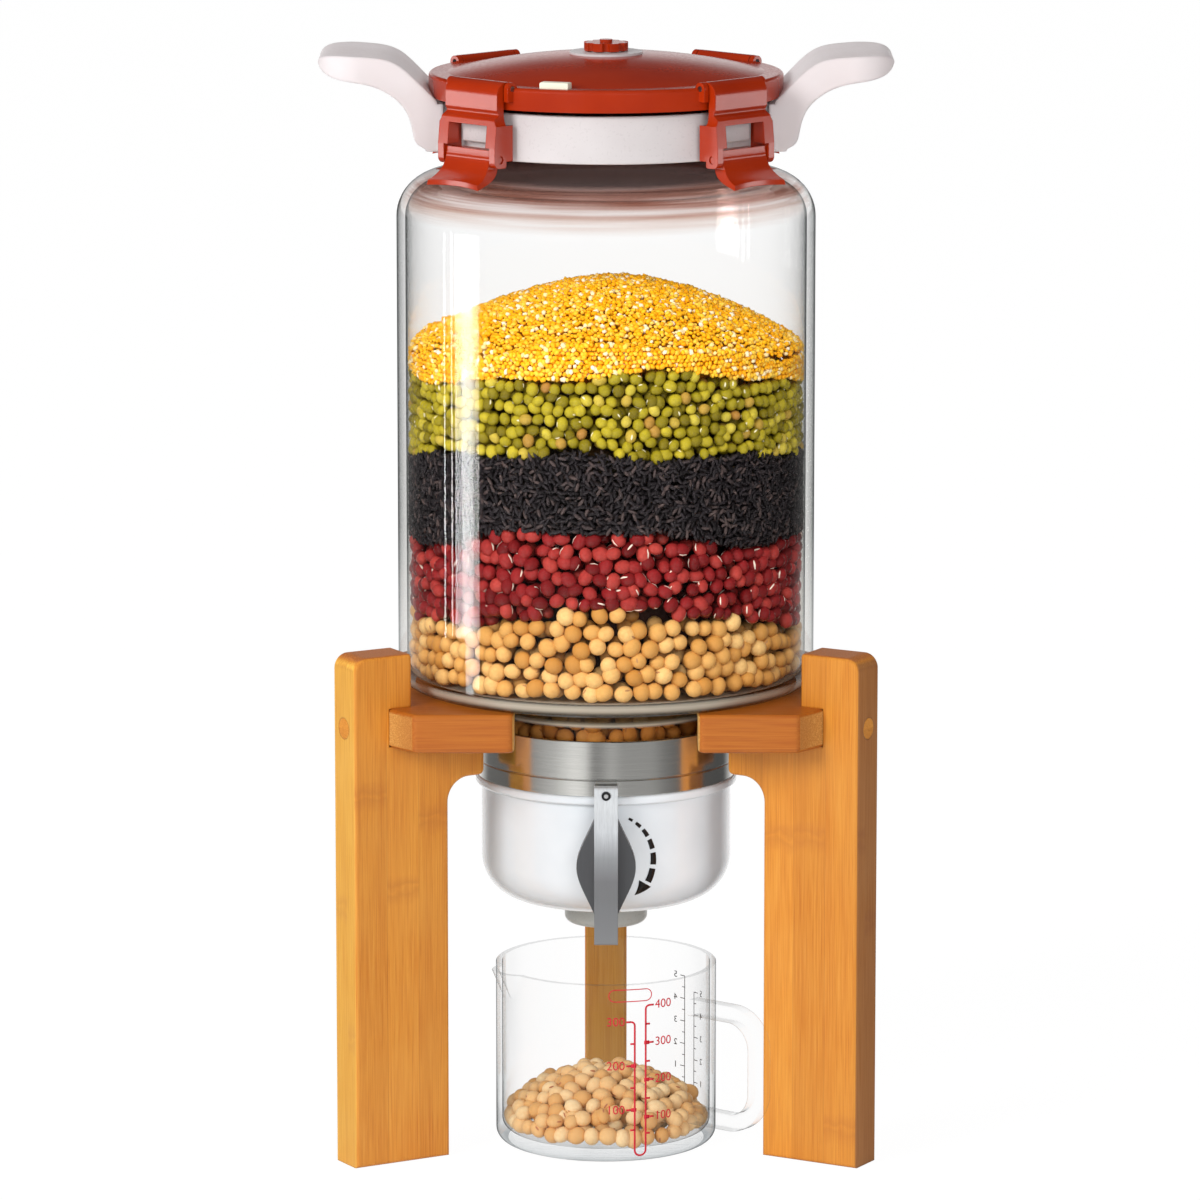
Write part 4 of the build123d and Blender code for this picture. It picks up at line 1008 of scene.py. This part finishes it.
# Scales of the cup: runs of the two stems and levels of the marks
RED_STEMS = (0.01196, 0.0167)
RED_RIGHT_LEVELS = {"400": 0.0669, "300": 0.0511, "200": 0.0353, "100": 0.0195}
RED_LEFT_LEVELS = {"300": 0.0602, "200": 0.0415, "100": 0.0228}
RED_FOOT = 0.0056
RED_LINE = 0.0008
RED_NUMBER_RUN = 0.0080
RED_NUMBER_SIZE = 0.0052
RED_MARK_RUN = 0.0036
RED_HALF_RUN = 0.0019
RED_DOT_RUN = 0.0007
LABEL_RUN = 0.0102
LABEL_Z = 0.0714
LABEL_HALF = 0.0066
LABEL_R = 0.0025
BLACK_AZIMUTH = 130
BLACK_STEMS = (-0.003, 0.003)
BLACK_STEP = 0.0098
BLACK_FOOT = 0.0105
BLACK_LINE = 0.0003
BLACK_LIFT_SHARES = (-0.4, 0.2)
BLACK_STEPS = 5
BLACK_MARK_RUN = 0.0026
BLACK_HALF_RUN = 0.0015
BLACK_NUMBER_RUN = 0.0052
BLACK_NUMBER_SIZE = 0.0038
HOOK_R = 0.0016


def red_scale():
    marks = Marks("measuring_cup", CUP_Y, CUP_R)
    left, right = RED_STEMS
    for stem, side, levels in ((left, -1, RED_LEFT_LEVELS), (right, 1, RED_RIGHT_LEVELS)):
        heights = list(levels.values())
        marks.line((stem, RED_FOOT), (stem, heights[0] - HOOK_R), RED_LINE)
        hook_start = 180 if side > 0 else 0
        marks.arc((stem + side * HOOK_R, heights[0] - HOOK_R), HOOK_R, hook_start, 90, RED_LINE)
        for text, height in levels.items():
            hook = (stem + side * HOOK_R, height)
            marks.number(text, stem + side * RED_NUMBER_RUN, height, RED_NUMBER_SIZE)
            marks.line(hook, (stem + side * RED_MARK_RUN, height), RED_LINE)
            if height != heights[0]:
                marks.line((stem - side * RED_DOT_RUN, height), hook, RED_LINE * 2)
        between = [(one + two) / 2 for one, two in zip(heights, heights[1:] + [RED_FOOT])]
        for height in between:
            marks.line((stem, height), (stem + side * RED_HALF_RUN, height), RED_LINE)
    middle = (left + right) / 2
    marks.arc((middle, RED_FOOT), (right - left) / 2, 180, 360, RED_LINE)
    for side, start in ((-1, 90), (1, -90)):
        marks.arc((LABEL_RUN + side * LABEL_HALF, LABEL_Z), LABEL_R, start, start + 180, RED_LINE / 2)
        level = LABEL_Z + side * LABEL_R
        marks.line((LABEL_RUN - LABEL_HALF, level), (LABEL_RUN + LABEL_HALF, level), RED_LINE / 2)
    return marks.build("cup_red_scale", red_ink)


def black_scale():
    """A second scale on the far side of the cup, which reads from that side."""
    marks = Marks("measuring_cup", CUP_Y, CUP_R, radians(BLACK_AZIMUTH))
    for stem, side, lift in zip(BLACK_STEMS, (-1, 1), BLACK_LIFT_SHARES):
        top = BLACK_FOOT + (BLACK_STEPS + lift) * BLACK_STEP
        marks.line((stem, BLACK_FOOT), (stem, top), BLACK_LINE)
        for step in range(1, 2 * BLACK_STEPS + 1):
            height = BLACK_FOOT + (step / 2 + lift) * BLACK_STEP
            whole = step % 2 == 0
            run = BLACK_MARK_RUN if whole else BLACK_HALF_RUN
            marks.line((stem, height), (stem + side * run, height), BLACK_LINE)
            if whole:
                marks.number(str(step // 2), stem + side * BLACK_NUMBER_RUN, height, BLACK_NUMBER_SIZE)
    marks.arc((0.0, BLACK_FOOT), BLACK_STEMS[1], 180, 360, BLACK_LINE)
    return marks.build("cup_black_scale", black_ink)


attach(red_scale(), "cup")
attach(black_scale(), "cup")

# Floor
FLOOR_SIZE = 30.0
FLOOR_NEAR = 1.0
FLOOR_FAR = 1.5
FLOOR_FAR_LEVEL = 0.12
FLOOR_GLOW = 1.03
FLOOR_GLOW_SHARE = 0.94
bpy.ops.mesh.primitive_plane_add(size=FLOOR_SIZE, location=(0, 0, 0))
floor = bpy.context.object
floor.name = "floor"


def mirror_rays(made):
    """Light path sockets: seen straight or through glass, and seen in a mirror."""
    path = made.node("LightPath").outputs
    seen = made.math("MAXIMUM", path["Is Camera Ray"], path["Is Transmission Ray"])
    mirrored = made.math("MULTIPLY", path["Is Glossy Ray"], made.math("SUBTRACT", 1.0, seen))
    return seen, mirrored


def floor_finish():
    """A pale floor that looks white, with a faint shadow, and darker in mirrors."""
    finish = Finish("floor_white")
    speck = finish.noise(finish.point(), 6.0, 2.0)
    finish.set(Base_Color=finish.ramp(speck, (0.3, 0.93), (0.7, 0.95)), Roughness=0.9)
    seen, mirrored = mirror_rays(finish)
    place = finish.parts(finish.node("NewGeometry").outputs["Position"])
    ahead = finish.math("SUBTRACT", AXIS_Y, place[1])
    reach = finish.length(place[0], ahead)
    nearness = finish.span(reach, FLOOR_NEAR, FLOOR_FAR, 1.0, FLOOR_FAR_LEVEL)
    level = finish.math("MULTIPLY", finish.studio(place[0], ahead), nearness)
    in_mirrors = finish.math("MULTIPLY", mirrored, level)
    strength = finish.math("ADD", in_mirrors, finish.math("MULTIPLY", seen, FLOOR_GLOW))
    glow = finish.node("Emission", {"Color": (1, 1, 1, 1), "Strength": strength})
    amount = finish.math("ADD", finish.math("MULTIPLY", seen, FLOOR_GLOW_SHARE), mirrored)
    finish.show(finish.node("MixShader", {0: amount, 1: finish.surface.outputs[0], 2: glow.outputs[0]}))
    return finish.material


floor.data.materials.append(floor_finish())

# Surroundings: white where they are seen, the studio's bright and dark sides in mirrors, soft light elsewhere
SKY_LIGHT_LEFT = 0.72
SKY_LIGHT_RIGHT = 0.36
SKY_MIRROR_LOW = 0.13
SKY_MIRROR_HIGH = 0.26
SKY_UPPER_FRONT = (-0.4, 0.34)
SKY_UPPER_BACK = (0.2, 0.04)
world = bpy.data.worlds.new("studio")
bpy.context.scene.world = world
world.use_nodes = True
sky = Nodes(world.node_tree)
seen, mirrored = mirror_rays(sky)
toward = sky.parts(sky.coords.outputs["Generated"])
(front, front_level), (back, back_level) = SKY_UPPER_FRONT, SKY_UPPER_BACK
upper_level = sky.span(toward[1], front, back, front_level, back_level)
height_share = sky.span(toward[2], SKY_MIRROR_LOW, SKY_MIRROR_HIGH)
fade = sky.math("ADD", 1.0, sky.math("MULTIPLY", height_share, sky.math("SUBTRACT", upper_level, 1.0)))
mirror_level = sky.math("MULTIPLY", sky.studio(toward[0], sky.math("MULTIPLY", toward[1], -1.0)), fade)
plain = sky.math("SUBTRACT", 1.0, sky.math("ADD", seen, mirrored))
sky_level = sky.span(toward[0], -1.0, 1.0, SKY_LIGHT_LEFT, SKY_LIGHT_RIGHT)
lighting = sky.math("MULTIPLY", plain, sky_level)
strength = sky.math("ADD", lighting, sky.math("MULTIPLY", mirrored, mirror_level))
background = world.node_tree.nodes["Background"]
background.inputs["Color"].default_value = (1, 1, 1, 1)
sky.feed(background.inputs["Strength"], sky.math("ADD", strength, seen))


def softbox(name, place, target, width, height, power, mirrored=False, only=()):
    """A lamp that looks at a target, and either lights matt surfaces or shows in mirrors.

    With pieces named, it serves only those.
    """
    lamp = bpy.data.lights.new(name, "AREA")
    lamp.shape = "RECTANGLE"
    lamp.size = width
    lamp.size_y = height
    lamp.energy = power
    made = bpy.data.objects.new(name, lamp)
    made.location = place
    made.rotation_euler = (Vector(target) - Vector(place)).to_track_quat("-Z", "Y").to_euler()
    made.visible_camera = False
    made.visible_diffuse = not mirrored
    made.visible_glossy = mirrored
    if only:
        served = bpy.data.collections.new(name)
        for piece in only:
            served.objects.link(piece)
        made.light_linking.receiver_collection = served
    bpy.context.scene.collection.objects.link(made)


# What the lamps look at, and the pieces that some of them serve alone
MIDDLE = (0.0, AXIS_Y, 0.23)
LATCH_MIDDLE = (0.0, AXIS_Y, 0.43)
STRIP_MIDDLE = (0.0, AXIS_Y, 0.17)
STRIP_X = -0.55
STRIP_H = 0.32
glass = [nodes["glass_jar"]]
russet_starts = ("latch_front", "lever_front", "lid_shell")
russet_pieces = [nodes[name] for name in nodes if name.startswith(russet_starts)]

softbox("key_left", (-1.5, -1.6, 1.2), MIDDLE, 0.9, 0.9, power=31.0)
softbox("fill_right", (0.7, -2.1, 0.9), MIDDLE, 0.9, 0.9, power=11.0)
softbox("hopper_light", (1.4, -1.0, 0.25), MIDDLE, 0.6, 0.6, power=9.0, only=[nodes["hopper"]])
for name, x, power in (("russet_left", -0.9, 1.7), ("russet_right", 0.9, 1.2)):
    softbox(name, (x, AXIS_Y, 0.30), LATCH_MIDDLE, 0.35, 0.3, power, mirrored=True, only=russet_pieces)
softbox("grain_light", (-0.2, -1.6, 1.5), MIDDLE, 0.6, 0.6, power=22.0, only=grain)
for name, ahead, width, power in (("strip_left", 0.108, 0.125, 4.6), ("line_left", -0.03, 0.012, 0.46)):
    place = (STRIP_X, AXIS_Y - ahead, STRIP_MIDDLE[2])
    softbox(name, place, STRIP_MIDDLE, width, STRIP_H, power, mirrored=True, only=glass)

camera = bpy.data.objects.new("camera", bpy.data.cameras.new("camera"))
camera.location = CAMERA_PLACE
camera.rotation_euler = (Vector(CAMERA_TARGET) - Vector(CAMERA_PLACE)).to_track_quat("-Z", "Y").to_euler()
camera.data.lens = CAMERA_LENS
camera.data.sensor_width = CAMERA_SENSOR
camera.data.clip_end = CAMERA_REACH
bpy.context.scene.collection.objects.link(camera)
bpy.context.scene.camera = camera
bpy.context.scene.view_settings.view_transform = "Standard"
